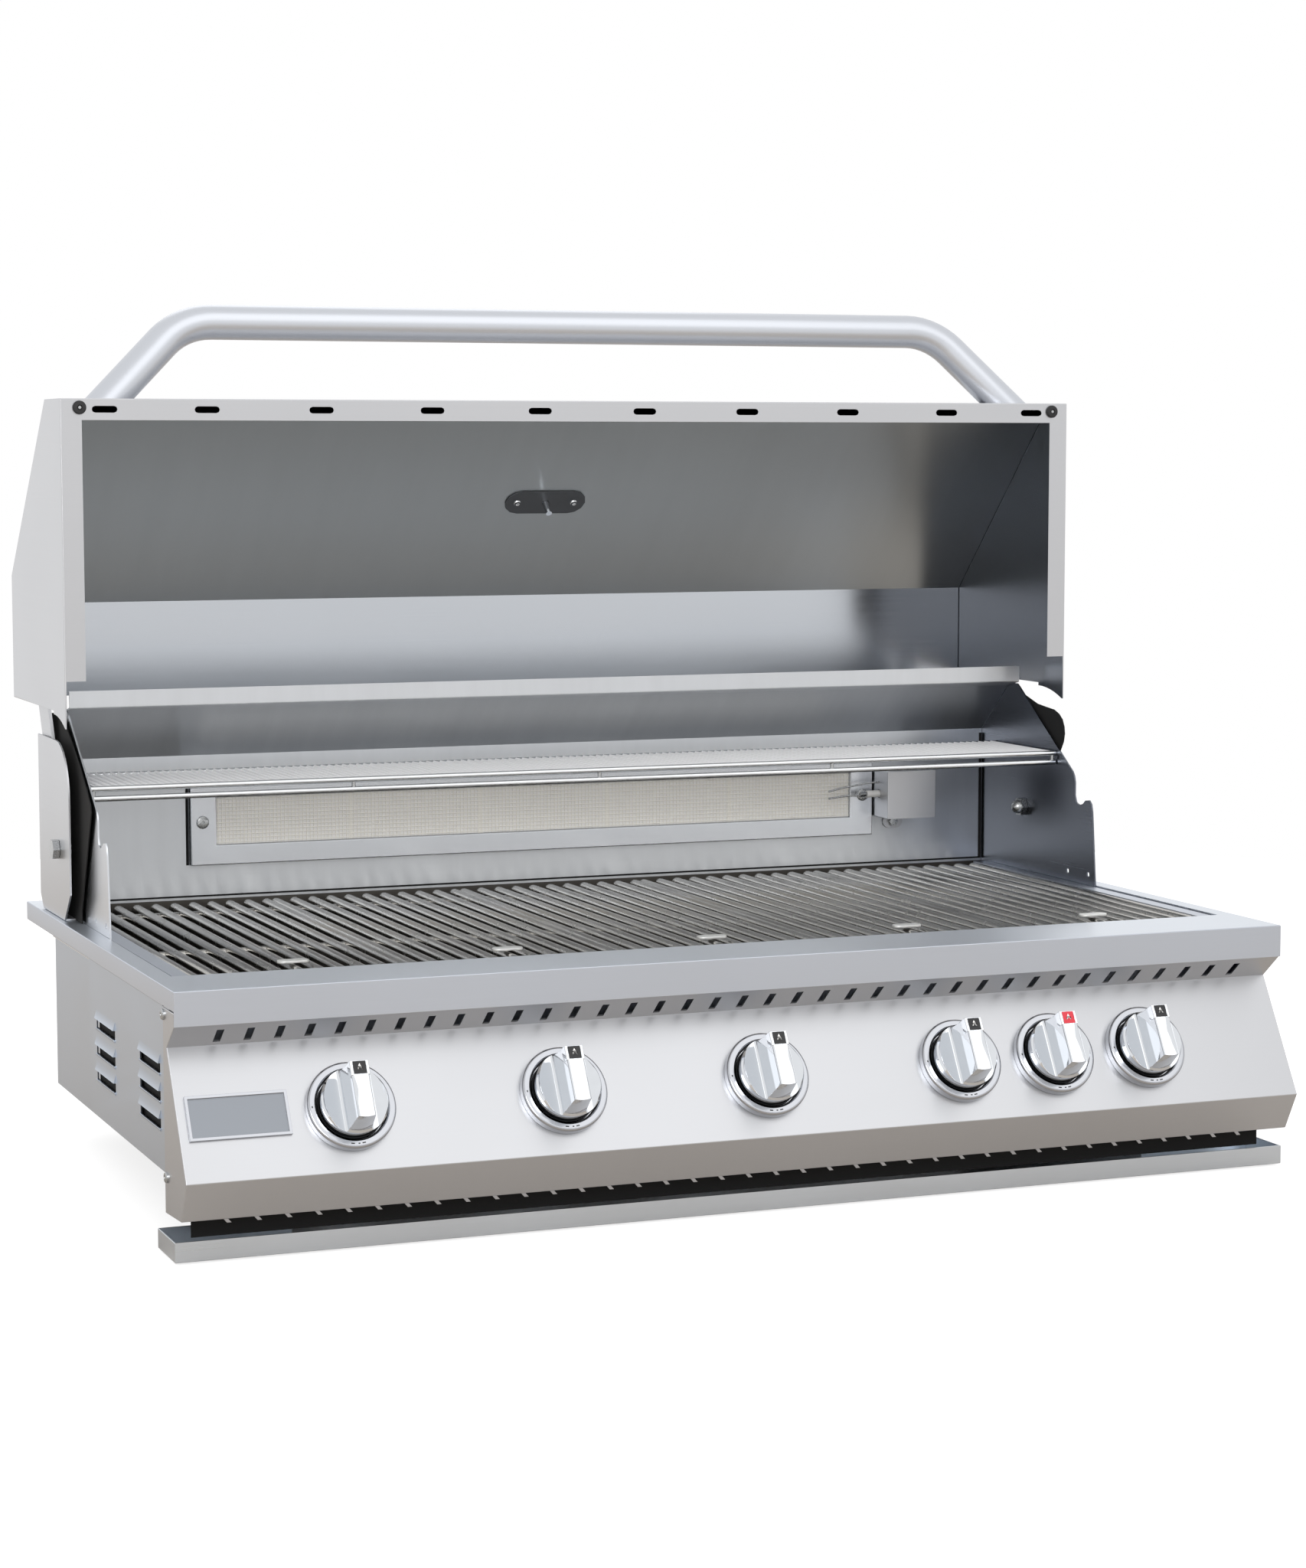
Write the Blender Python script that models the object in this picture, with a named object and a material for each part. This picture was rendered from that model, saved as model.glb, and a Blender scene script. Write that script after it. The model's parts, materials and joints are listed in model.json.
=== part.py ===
# Built-in gas grill, lid open. Metres, +Z up, +Y to the rear, +X to the right.
# Every shape is drawn in the case frame: x = 0 on the centre line, y = 0 on the
# apron's front face and z = 0 on top of the trim. The empty grill_frame then
# stands the whole on its runner feet, centred over its own footprint.

import math

import bmesh
import bpy
from mathutils import Matrix, Vector

MM = 0.001

# Sheet metal and clearances
SHEET = 1.5 * MM
THIN_SHEET = 1.2 * MM
FIT = 0.3 * MM
OVERRUN = 4 * MM
TINY_OVERLAP = 0.4 * MM

# Trim frame
TRIM_WIDTH = 1003 * MM
TRIM_DEPTH = 577 * MM
TRIM_FRONT_LEDGE = 79 * MM
TRIM_REAR_LEDGE = 32 * MM
TRIM_SIDE_LEDGE = 17.2 * MM
TRIM_LIP_HEIGHT = 17 * MM
TRIM_LIP_RELIEF = 1 * MM
APRON_HEIGHT = 28 * MM

# Control panel
PANEL_BACK = 38 * MM
RECESS_DEPTH = 25.2 * MM
RECESS_DROP = 20.2 * MM
SLOPE_LENGTH = 114.3 * MM
SLOPE_DEG = 59.26
CHIN_LENGTH = 37.8 * MM
CHIN_DEG = 61.7
UNDERSIDE_DROP = 3 * MM
VENT_COUNT = 38
VENT_END_MARGIN = 39.3 * MM
VENT_WIDTH = 6 * MM
RECESS_VENT_SHARES = (0.25, 0.85)
UNDERSIDE_VENT_SHARES = (0.2, 0.55)

# Controls
KNOB_END_MARGIN = 140.5 * MM
BEZEL_GAP = 14 * MM
KNOB_DOWN_SLOPE = 61 * MM
REAR_KNOB_SHARE = 0.5
BEZEL_RADIUS = 36.6 * MM
BEZEL_BORE = 30 * MM
BEZEL_HEIGHT = 8 * MM
BEZEL_BEVEL = 3 * MM
KNOB_RADIUS = 28 * MM
KNOB_TOP = 24 * MM
KNOB_FOOT = 5 * MM
KNOB_BEVEL = 4 * MM
GRIP_HEIGHT = 44 * MM
GRIP_WIDTH = 16 * MM
GRIP_LENGTH = 48 * MM
PUSH_TRAVEL = 3.5 * MM
STEM_RADIUS = 5 * MM
STEM_TOP = 15.7 * MM
STEM_TAIL = 22 * MM
PANEL_HOLE_RADIUS = 6.5 * MM
BADGE_LENGTH = 83 * MM
BADGE_HEIGHT = 37.5 * MM
BADGE_THICKNESS = 1.2 * MM
BADGE_FRAME = 2.5 * MM
BADGE_RECESS = 0.5 * MM
BADGE_LEFT_MARGIN = 7.6 * MM
BADGE_DOWN_SLOPE = 61 * MM

# Gas manifold and valves
VALVE_WIDTH = 22 * MM
VALVE_TOP = 12 * MM
VALVE_LENGTH = 36 * MM
MANIFOLD_RADIUS = 9.5 * MM
MANIFOLD_DEPTH = 44 * MM
MANIFOLD_OVERHANG = 40 * MM
INLET_RADIUS = 14 * MM
INLET_LENGTH = 18 * MM
SPUD_RADIUS = 4 * MM
SPUD_DROP = 5 * MM

# Firebox
FIREBOX_HEIGHT = 166.2 * MM
FIREBOX_SETBACK = 9 * MM
GRATE_LEDGE = 20 * MM
TAMER_LEDGE = 24 * MM
DRIP_SIDE_MARGIN = 52.8 * MM
DRIP_FRONT_MARGIN = 50 * MM
DRIP_REAR_MARGIN = 20 * MM

# Burners and flame tamers
BURNER_RADIUS = 12.7 * MM
BURNER_MOUTH_RADIUS = 16 * MM
BURNER_MOUTH_LENGTH = 14 * MM
BURNER_DROP = 95 * MM
BURNER_END_GAP = 36 * MM
SPIGOT_RADIUS = 5 * MM
TAMER_WIDTH = 120 * MM
TAMER_RISE = 26 * MM
TAMER_GAP = 18 * MM

# Cooking grates
GRATE_COUNT = 5
GRATE_GAP = 0.6 * MM
GRATE_SIDE_GAP = 13.5 * MM
GRATE_RODS = 11
GRATE_ROD = 8 * MM
GRATE_FOOT = 17 * MM
GRATE_SUNK = 1 * MM
GRATE_REAR_GAP = 9.4 * MM
GRATE_CROSS_PLACES = (20 * MM, 164 * MM)

# Rear wall and side shields
HOOD_SKIRT = 30 * MM
HOOD_RISE = 135 * MM
HOOD_LEAN = 56 * MM
HOOD_LEAN_RISE = 48 * MM
HOOD_LIP = 25 * MM
HOOD_LIP_RISE = 5 * MM
HOOD_HEM = 16 * MM
SHIELD_SKIRT = 30 * MM
SHIELD_DEPTH = 242 * MM
SHIELD_HEIGHT = 186 * MM
SHIELD_EDGE_SHARES = (
    (0.0, 0.0), (0.030, 0.38), (0.038, 0.42), (0.056, 0.44), (0.087, 0.435),
    (0.108, 0.414), (0.137, 0.406), (0.163, 0.417), (0.175, 0.452), (0.175, 0.52),
    (0.181, 0.55), (0.195, 0.575), (0.660, 0.985), (0.680, 1.0), (0.770, 1.0), (1.0, 0.75),
)
SHIELD_HOLE_RADIUS = 2.6 * MM
SHIELD_HOLE_SHARES = ((0.058, 0.05), (0.228, 0.045))

# Louvred side panels
SIDE_INSET = 4.5 * MM
SIDE_FRONT = 34 * MM
SIDE_LENGTH = 296 * MM
SIDE_HEIGHT = 151.7 * MM
LOUVRE_LENGTH = 72 * MM
LOUVRE_HEIGHT = 9 * MM
LOUVRE_PROUD = 2.2 * MM
LOUVRE_SLIT = 4 * MM
LOUVRE_ROWS = 3
LOUVRE_FIRST_DROP = 66 * MM
LOUVRE_ROW_PITCH = 22.5 * MM
LOUVRE_COLUMNS = (33.5 * MM, 196 * MM)

# Hinge
HINGE_REAR_GAP = 93.2 * MM
HINGE_RISE = 63 * MM
EAR_FRONT = 48 * MM
EAR_REAR = 82 * MM
EAR_HEIGHT = 161 * MM
EAR_CORNER = 50 * MM
EAR_CHAMFER = 26 * MM
EAR_FOOT = 11 * MM
PIN_RADIUS = 5 * MM
NUT_RADIUS = 9.5 * MM
NUT_THICKNESS = 6 * MM
COLLAR_RADIUS = 9 * MM
LID_SIDE_INSET = 2.5 * MM
ARM_THICKNESS = 3 * MM
ARM_CLEARANCE = 1.2 * MM
ARM_HALF_WIDTH = 18 * MM
ARM_LENGTH = 200 * MM
ARM_LEAN_DEG = 61
ARM_PAD_LENGTH = 46 * MM
ARM_PAD_HALF_WIDTH = 14 * MM

# Lid, measured from the hinge axis with the lid open
LID_RIM = 50 * MM
LID_TOP = 403 * MM
LID_FLAT = 68 * MM
LID_BACK = 184 * MM
LID_BEVEL_DEG = 44.4
LID_SKIRT_RISE = 125 * MM
LID_ARC_RADIUS = 122 * MM
LIP_HEIGHT = 19 * MM
RIM_FLANGE = 19 * MM
RIM_FLANGE_FOOT = 154 * MM
LIP_SLOT_LENGTH = 23 * MM
LIP_SLOT_HEIGHT = 6 * MM
LIP_SLOT_DROP = 9.5 * MM
LIP_SLOT_SHARES = (0.1042, 0.3136, 0.5240, 0.7355, 0.9208)
LINER_SHEET = 1 * MM
LINER_FLAT = 54 * MM
LINER_BACK_GAP = 6 * MM

# Handle and thermometer
HANDLE_RADIUS = 15 * MM
HANDLE_FOOT_INSET = 52 * MM
HANDLE_FOOT_DEPTH = 36 * MM
HANDLE_FOOT_SPREAD = 79 * MM
HANDLE_BAR_DEPTH = 56 * MM
HANDLE_STANDOFF = 71 * MM
HANDLE_BEND = 34 * MM
GAUGE_RADIUS = 30 * MM
GAUGE_THICKNESS = 12 * MM
GAUGE_STEM_RADIUS = 3 * MM
GAUGE_PROBE = 24 * MM
GAUGE_DOWN_BEVEL = 112 * MM
PROBE_PLATE_LENGTH = 82 * MM
PROBE_PLATE_HEIGHT = 30 * MM
PROBE_RIVET_RADIUS = 3.2 * MM
PROBE_RIVET_HEIGHT = 2.4 * MM
PROBE_RIVET_PITCH = 58 * MM

# Rear infrared burner and its igniter
REAR_BURNER_SIDE_GAP = 128.2 * MM
REAR_BURNER_FOOT = 31 * MM
REAR_BURNER_HEIGHT = 74 * MM
REAR_BURNER_DEPTH = 8 * MM
TILE_SIDE_MARGIN = 25 * MM
TILE_HEIGHT = 45 * MM
TILE_FOOT = 19 * MM
TILE_SUNK = 3 * MM
IGNITER_GAP = 1 * MM
IGNITER_WIDTH = 54 * MM
IGNITER_DEPTH = 42 * MM
IGNITER_FOOT = 50 * MM
IGNITER_HEIGHT = 48 * MM
ELECTRODE_RADIUS = 4 * MM
ELECTRODE_INSIDE = 8 * MM
ELECTRODE_CERAMIC = 32 * MM
ELECTRODE_TIP_RADIUS = 1.2 * MM
ELECTRODE_TIP = 24 * MM

# Warming rack
RACK_REAR_GAP = 29.2 * MM
RACK_DEPTH = 132 * MM
RACK_TOP = 125 * MM
RACK_ROD = 5 * MM
RACK_DROP = 16 * MM
RACK_WIRE_PITCH = 40 * MM
RACK_POST_PITCH = 240 * MM
RACK_SIDE_GAP = 1 * MM
RACK_PIN_RADIUS = 2.5 * MM
RACK_PIN_PLACES = (2.5 * MM, 128 * MM)

# Drip tray and its runners
TRAY_SIDE_PROUD = 2.5 * MM
TRAY_FRONT = 2.4 * MM
TRAY_TOP_DROP = 198.6 * MM
TRAY_HEIGHT = 16.3 * MM
TRAY_WIDE_DEPTH = 57 * MM
TRAY_DEPTH = 432 * MM
TRAY_PAN_INSET = 87.2 * MM
RUNNER_GAP = 5 * MM
RUNNER_FOOT = 20 * MM
RUNNER_FRONT_GAP = 3 * MM

# Places that follow from the sizes above
HALF = TRIM_WIDTH / 2
OPENING_HALF = HALF - TRIM_SIDE_LEDGE
OPENING_REAR = TRIM_DEPTH - TRIM_REAR_LEDGE
SHIELD_OUTER = OPENING_HALF - FIT
SHIELD_INNER = SHIELD_OUTER - SHEET
BOX_OUTER = SHIELD_INNER - FIT
BOX_INNER = BOX_OUTER - SHEET
HOOD_BACK = OPENING_REAR - FIT
HOOD_FACE = HOOD_BACK - SHEET
BOX_REAR = HOOD_FACE - FIT
HINGE_Y = HOOD_FACE - HINGE_REAR_GAP
BOX_FRONT = TRIM_FRONT_LEDGE - FIREBOX_SETBACK
UNDER_TRIM = -SHEET - FIT
BOX_FLOOR = UNDER_TRIM - FIREBOX_HEIGHT
GRATE_TOP = -GRATE_SUNK
GRATE_REST = GRATE_TOP - GRATE_FOOT - FIT
TAMER_REST = GRATE_REST - TAMER_GAP - TAMER_RISE - SHEET
TRAY_FLOOR = -TRAY_TOP_DROP - TRAY_HEIGHT
RUNNER_BASE = TRAY_FLOOR - FIT - THIN_SHEET
LID_OUTER = HALF - LID_SIDE_INSET
LID_INNER = LID_OUTER - SHEET
EAR_OUTER = LID_INNER - FIT
EAR_INNER = EAR_OUTER - SHEET
ARM_OUTER = EAR_INNER - ARM_CLEARANCE
ARM_INNER = ARM_OUTER - ARM_THICKNESS
VENT_PITCH = (TRIM_WIDTH - 2 * VENT_END_MARGIN) / (VENT_COUNT - 1)
KNOB_SPAN = TRIM_WIDTH - 2 * KNOB_END_MARGIN
LEAST_BURNER_PITCH = 2 * (2 * BEZEL_RADIUS + BEZEL_GAP)
MAIN_BURNERS = int(KNOB_SPAN / LEAST_BURNER_PITCH) + 1
KNOB_PITCH = KNOB_SPAN / (MAIN_BURNERS - 1)
GRATE_SPAN = 2 * (BOX_INNER - GRATE_SIDE_GAP)
GRATE_WIDTH = (GRATE_SPAN - (GRATE_COUNT - 1) * GRATE_GAP) / GRATE_COUNT
REAR_BURNER_HALF = BOX_OUTER - REAR_BURNER_SIDE_GAP
TILE_HALF = REAR_BURNER_HALF - TILE_SIDE_MARGIN
TRAY_PAN_HALF = BOX_OUTER - TRAY_PAN_INSET
HANDLE_FOOT_X = LID_OUTER - HANDLE_FOOT_INSET
HANDLE_BAR_X = HANDLE_FOOT_X - HANDLE_FOOT_SPREAD


class Finish:
    """Colour, metallic and roughness values of one material."""

    def __init__(self, name, colour, metallic, roughness):
        self.name = name
        self.colour = colour
        self.metallic = metallic
        self.roughness = roughness


BRUSHED = Finish("brushed_stainless", (0.72, 0.73, 0.74), 1.0, 0.32)
SATIN = Finish("satin_stainless", (0.80, 0.80, 0.81), 1.0, 0.25)
HEAT_TINTED = Finish("oven_stainless", (0.42, 0.42, 0.43), 1.0, 0.40)
ROD_STEEL = Finish("grate_steel", (0.38, 0.37, 0.35), 1.0, 0.38)
CHROMED = Finish("chromed_zinc", (0.86, 0.87, 0.88), 1.0, 0.12)
BRASS = Finish("valve_brass", (0.70, 0.55, 0.30), 1.0, 0.35)
CERAMIC = Finish("burner_ceramic", (0.82, 0.78, 0.70), 0.0, 0.85)
PORCELAIN = Finish("electrode_porcelain", (0.92, 0.91, 0.88), 0.0, 0.3)
FASTENER = Finish("zinc_fastener", (0.62, 0.62, 0.60), 1.0, 0.35)


def clear_scene():
    """Remove every object that the scene starts with."""
    for old in list(bpy.data.objects):
        bpy.data.objects.remove(old, do_unlink=True)


def material_of(finish):
    """Give the finish's Principled material, made once."""
    found = bpy.data.materials.get(finish.name)
    if found is not None:
        return found
    material = bpy.data.materials.new(finish.name)
    material.use_nodes = True
    shader = material.node_tree.nodes["Principled BSDF"]
    shader.inputs["Base Color"].default_value = (*finish.colour, 1.0)
    shader.inputs["Metallic"].default_value = finish.metallic
    shader.inputs["Roughness"].default_value = finish.roughness
    return material


def in_axis(axis, station, pair):
    """Put an outline's pair and its station along the axis into x, y, z."""
    first, second = pair
    if axis == "X":
        return (station, first, second)
    if axis == "Y":
        return (first, station, second)
    return (first, second, station)


def prism(outline, axis, low, high):
    """Extrude a closed outline along one axis."""
    count = len(outline)
    points = [in_axis(axis, low, pair) for pair in outline]
    points += [in_axis(axis, high, pair) for pair in outline]
    faces = [tuple(range(count)), tuple(range(count, 2 * count))]
    for index in range(count):
        after = (index + 1) % count
        faces.append((index, after, after + count, index + count))
    return points, faces


def block(low, high):
    """Make a box between two corners."""
    outline = [(low[0], low[1]), (high[0], low[1]), (high[0], high[1]), (low[0], high[1])]
    return prism(outline, "Z", low[2], high[2])


def hexagon_reach(across, angle):
    """Radius at an angle of a hexagon whose corners lie on a circle."""
    sixth = math.pi / 3
    return across * math.cos(sixth / 2) / math.cos(angle % sixth - sixth / 2)


def turned(profile, axis, sides, centre=(0, 0)):
    """Stack rings along an axis. A profile entry is station, radius and, for a nut, True."""
    points = []
    faces = []
    for entry in profile:
        station, radius = entry[0], entry[1]
        is_nut = len(entry) > 2
        for step in range(sides):
            angle = 2 * math.pi * step / sides
            reach = hexagon_reach(radius, angle) if is_nut else radius
            pair = (centre[0] + reach * math.cos(angle), centre[1] + reach * math.sin(angle))
            points.append(in_axis(axis, station, pair))
    for ring in range(len(profile) - 1):
        base = ring * sides
        for step in range(sides):
            after = (step + 1) % sides
            faces.append((base + step, base + after, base + sides + after, base + sides + step))
    faces.append(tuple(range(sides)))
    last = (len(profile) - 1) * sides
    faces.append(tuple(range(last, last + sides)))
    return points, faces


def ring_body(outer, bore, height, bevel, sides):
    """A ring standing on z = 0 with a bevelled outer top edge."""
    section = [(bore, 0), (outer, 0), (outer, height - bevel), (outer - bevel, height), (bore, height)]
    points = []
    faces = []
    count = len(section)
    for step in range(sides):
        angle = 2 * math.pi * step / sides
        for radius, rise in section:
            points.append((radius * math.cos(angle), radius * math.sin(angle), rise))
    for step in range(sides):
        after = (step + 1) % sides
        for index in range(count):
            following = (index + 1) % count
            faces.append((step * count + index, step * count + following,
                          after * count + following, after * count + index))
    return points, faces


def swept_rod(path, radius, sides):
    """Carry a round section along a path of points, with flat ends."""
    path = [Vector(point) for point in path]
    points = []
    faces = []
    across = Vector((0, 1, 0))
    for index, point in enumerate(path):
        before = path[max(index - 1, 0)]
        after = path[min(index + 1, len(path) - 1)]
        along = (after - before).normalized()
        across = (across - along * across.dot(along)).normalized()
        up = along.cross(across)
        for step in range(sides):
            angle = 2 * math.pi * step / sides
            points.append(tuple(point + across * radius * math.cos(angle) + up * radius * math.sin(angle)))
    for ring in range(len(path) - 1):
        base = ring * sides
        for step in range(sides):
            following = (step + 1) % sides
            faces.append((base + step, base + following,
                          base + sides + following, base + sides + step))
    faces.append(tuple(range(sides)))
    last = (len(path) - 1) * sides
    faces.append(tuple(range(last, last + sides)))
    return points, faces


def rounded_path(corners, bend, steps):
    """Round each inner corner of a path with a curve that starts one bend length away."""
    corners = [Vector(corner) for corner in corners]
    path = [corners[0]]
    for index in range(1, len(corners) - 1):
        corner = corners[index]
        start = corner + (corners[index - 1] - corner).normalized() * bend
        end = corner + (corners[index + 1] - corner).normalized() * bend
        for step in range(steps + 1):
            share = step / steps
            path.append(start.lerp(corner, share).lerp(corner.lerp(end, share), share))
    path.append(corners[-1])
    return path


def arc(centre, radius, start_deg, end_deg, steps):
    """Points of an arc in an outline's own plane."""
    pairs = []
    for step in range(steps + 1):
        angle = math.radians(start_deg + (end_deg - start_deg) * step / steps)
        pairs.append((centre[0] + radius * math.cos(angle), centre[1] + radius * math.sin(angle)))
    return pairs


def stadium(length, height, steps):
    """A flat bar outline with round ends, centred on the origin."""
    radius = height / 2
    reach = length / 2 - radius
    return arc((reach, 0), radius, -90, 90, steps) + arc((-reach, 0), radius, 90, 270, steps)


def offset_line(line, distance):
    """Move an open line to its left by a distance, with mitred corners."""
    normals = []
    for index in range(len(line) - 1):
        run = line[index + 1][0] - line[index][0]
        rise = line[index + 1][1] - line[index][1]
        length = math.hypot(run, rise)
        normals.append((-rise / length, run / length))
    moved = []
    for index, (first, second) in enumerate(line):
        before = normals[max(index - 1, 0)]
        after = normals[min(index, len(normals) - 1)]
        mitre = 1 + before[0] * after[0] + before[1] * after[1]
        moved.append((first + distance * (before[0] + after[0]) / mitre,
                      second + distance * (before[1] + after[1]) / mitre))
    return moved


def sheet_outline(line, gauge):
    """Give an open line the thickness of its sheet."""
    return list(line) + offset_line(line, gauge)[::-1]


def merged(shapes):
    """Put several separate shapes into one."""
    points = []
    faces = []
    for shape_points, shape_faces in shapes:
        base = len(points)
        points += shape_points
        faces += [tuple(index + base for index in face) for face in shape_faces]
    return points, faces


def moved_shape(shape, matrix):
    """Turn and shift a shape."""
    points, faces = shape
    return [tuple(matrix @ Vector(point)) for point in points], faces


def on_side(shape, side):
    """Mirror a right-hand shape to the left where side is -1."""
    points, faces = shape
    return [(side * x, y, z) for x, y, z in points], faces


def mesh_of(name, shape):
    """Make a mesh whose faces all point outwards."""
    mesh = bpy.data.meshes.new(name)
    mesh.from_pydata(shape[0], [], shape[1])
    editable = bmesh.new()
    editable.from_mesh(mesh)
    bmesh.ops.recalc_face_normals(editable, faces=editable.faces)
    editable.to_mesh(mesh)
    editable.free()
    return mesh


def placed(name, shape, place):
    """Link an object under the grill's frame, with its own origin and tilt."""
    item = bpy.data.objects.new(name, mesh_of(name, shape))
    bpy.context.collection.objects.link(item)
    item.parent = bpy.data.objects["grill_frame"]
    item.location = place.translation
    item.rotation_euler = place.to_euler()
    return item


def piece(name, shape, finish, place=Matrix.Identity(4), smooth=False):
    """Make one named piece with its material."""
    item = placed(name, shape, place)
    item.data.materials.append(material_of(finish))
    if smooth:
        item.data.shade_smooth()
        item.data.set_sharp_from_angle(angle=math.radians(40))
    return item


def combine(item, shapes, operation):
    """Add a Boolean modifier with a hidden tool made of separate shapes."""
    tool_name = item.name + "_" + operation.lower() + "_" + str(len(item.modifiers))
    place = Matrix.LocRotScale(item.location, item.rotation_euler, None)
    tool = placed(tool_name, merged(shapes), place)
    tool.hide_render = True
    tool.display_type = "WIRE"
    modifier = item.modifiers.new(operation.title(), "BOOLEAN")
    modifier.operation = operation
    modifier.solver = "EXACT"
    modifier.object = tool


def cut(item, shapes):
    """Cut separate shapes out of a piece."""
    combine(item, shapes, "DIFFERENCE")


def weld(item, shapes):
    """Weld separate shapes onto a piece."""
    combine(item, shapes, "UNION")


def panel_line():
    """Outer line of the control panel in y and z, from the apron to the underside's back."""
    slope = math.radians(SLOPE_DEG)
    chin = math.radians(CHIN_DEG)
    top = (SHEET + FIT, -TRIM_LIP_HEIGHT - FIT)
    brow = (SHEET + FIT, -APRON_HEIGHT - FIT)
    recess = (brow[0] + RECESS_DEPTH, brow[1] - RECESS_DROP)
    nose = (recess[0] - SLOPE_LENGTH * math.cos(slope), recess[1] - SLOPE_LENGTH * math.sin(slope))
    chin_end = (nose[0] + CHIN_LENGTH * math.cos(chin), nose[1] - CHIN_LENGTH * math.sin(chin))
    back = (PANEL_BACK, chin_end[1] - UNDERSIDE_DROP)
    return [top, brow, recess, nose, chin_end, back]


def panel_place(across, down_slope):
    """Frame on the panel's slope: z out of the panel, y up the slope."""
    slope = math.radians(SLOPE_DEG)
    recess = panel_line()[2]
    spot = Vector((across, recess[0] - down_slope * math.cos(slope),
                   recess[1] - down_slope * math.sin(slope)))
    return Matrix.Translation(spot) @ Matrix.Rotation(slope, 4, "X")


def hinge_place():
    """Frame on the lid's hinge axis."""
    return Matrix.Translation(Vector((0, HINGE_Y, HINGE_RISE)))


def knob_places():
    """The five main knobs from left to right, then the rear burner's knob."""
    middle = (MAIN_BURNERS - 1) / 2
    acrosses = [(index - middle) * KNOB_PITCH for index in range(MAIN_BURNERS)]
    acrosses.append(acrosses[-2] + KNOB_PITCH * REAR_KNOB_SHARE)
    return acrosses


def build_trim():
    """Top frame with an apron and lips that clear the panel's ends and rest on the counter."""
    trim = piece("trim_frame", block((-HALF, 0, -APRON_HEIGHT), (HALF, TRIM_DEPTH, 0)), BRUSHED)
    under = -APRON_HEIGHT - OVERRUN
    cut(trim, [block((-HALF + SHEET, SHEET, under), (HALF - SHEET, TRIM_DEPTH - SHEET, -SHEET))])
    cut(trim, [block((-HALF - OVERRUN, SHEET, under),
                     (HALF + OVERRUN, TRIM_DEPTH + OVERRUN, -TRIM_LIP_HEIGHT))])
    cut(trim, [block((-HALF - OVERRUN, SHEET, under),
                     (HALF + OVERRUN, PANEL_BACK + FIT, -TRIM_LIP_HEIGHT + TRIM_LIP_RELIEF))])
    cut(trim, [block((-OPENING_HALF, TRIM_FRONT_LEDGE, under), (OPENING_HALF, OPENING_REAR, OVERRUN))])


def vent_row(start, end, shares):
    """Vent cutters through the sheet between two points of the panel line."""
    run = Vector((0, end[0] - start[0], end[1] - start[1]))
    out = Vector((0, -run.z, run.y)).normalized() * OVERRUN
    origin = Vector((0, start[0], start[1]))
    vents = []
    for index in range(VENT_COUNT):
        left = (index - (VENT_COUNT - 1) / 2) * VENT_PITCH - VENT_WIDTH / 2
        right = left + VENT_WIDTH
        points = []
        for side in (-1, 1):
            for share, across in ((shares[0], left), (shares[0], right),
                                  (shares[1], right), (shares[1], left)):
                points.append(tuple(origin + run * share + Vector((across, 0, 0)) + out * side))
        faces = [(0, 1, 2, 3), (4, 5, 6, 7), (0, 1, 5, 4), (1, 2, 6, 5), (2, 3, 7, 6), (3, 0, 4, 7)]
        vents.append((points, faces))
    return vents


def build_control_panel():
    """Bent front panel with closed ends, vents and a hole for each valve stem."""
    line = panel_line()
    top, back = line[0], line[-1]
    panel = piece("control_panel", prism(line + [(back[0], top[1])], "X", -HALF, HALF), BRUSHED)
    inner = offset_line(line, SHEET)
    above = top[1] + OVERRUN
    behind = back[0] + OVERRUN
    hollow = [(inner[0][0], above)] + inner[1:-1] + [(behind, inner[-1][1]), (behind, above)]
    cut(panel, [prism(hollow, "X", -HALF + SHEET, HALF - SHEET)])
    cut(panel, vent_row(line[1], line[2], RECESS_VENT_SHARES))
    cut(panel, vent_row(line[4], line[5], UNDERSIDE_VENT_SHARES))
    hole = turned([(-OVERRUN, PANEL_HOLE_RADIUS), (OVERRUN, PANEL_HOLE_RADIUS)], "Z", 12)
    cut(panel, [moved_shape(hole, panel_place(across, KNOB_DOWN_SLOPE)) for across in knob_places()])


def build_badge():
    """Blank badge plate with a raised frame, at the panel's left end."""
    across = -HALF + BADGE_LEFT_MARGIN + BADGE_LENGTH / 2
    half_length = BADGE_LENGTH / 2
    half_height = BADGE_HEIGHT / 2
    top = FIT + BADGE_THICKNESS
    badge = piece("badge_plate", block((-half_length, -half_height, FIT), (half_length, half_height, top)),
                  SATIN, panel_place(across, BADGE_DOWN_SLOPE))
    cut(badge, [block((-half_length + BADGE_FRAME, -half_height + BADGE_FRAME, top - BADGE_RECESS),
                      (half_length - BADGE_FRAME, half_height - BADGE_FRAME, top + OVERRUN))])


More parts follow.
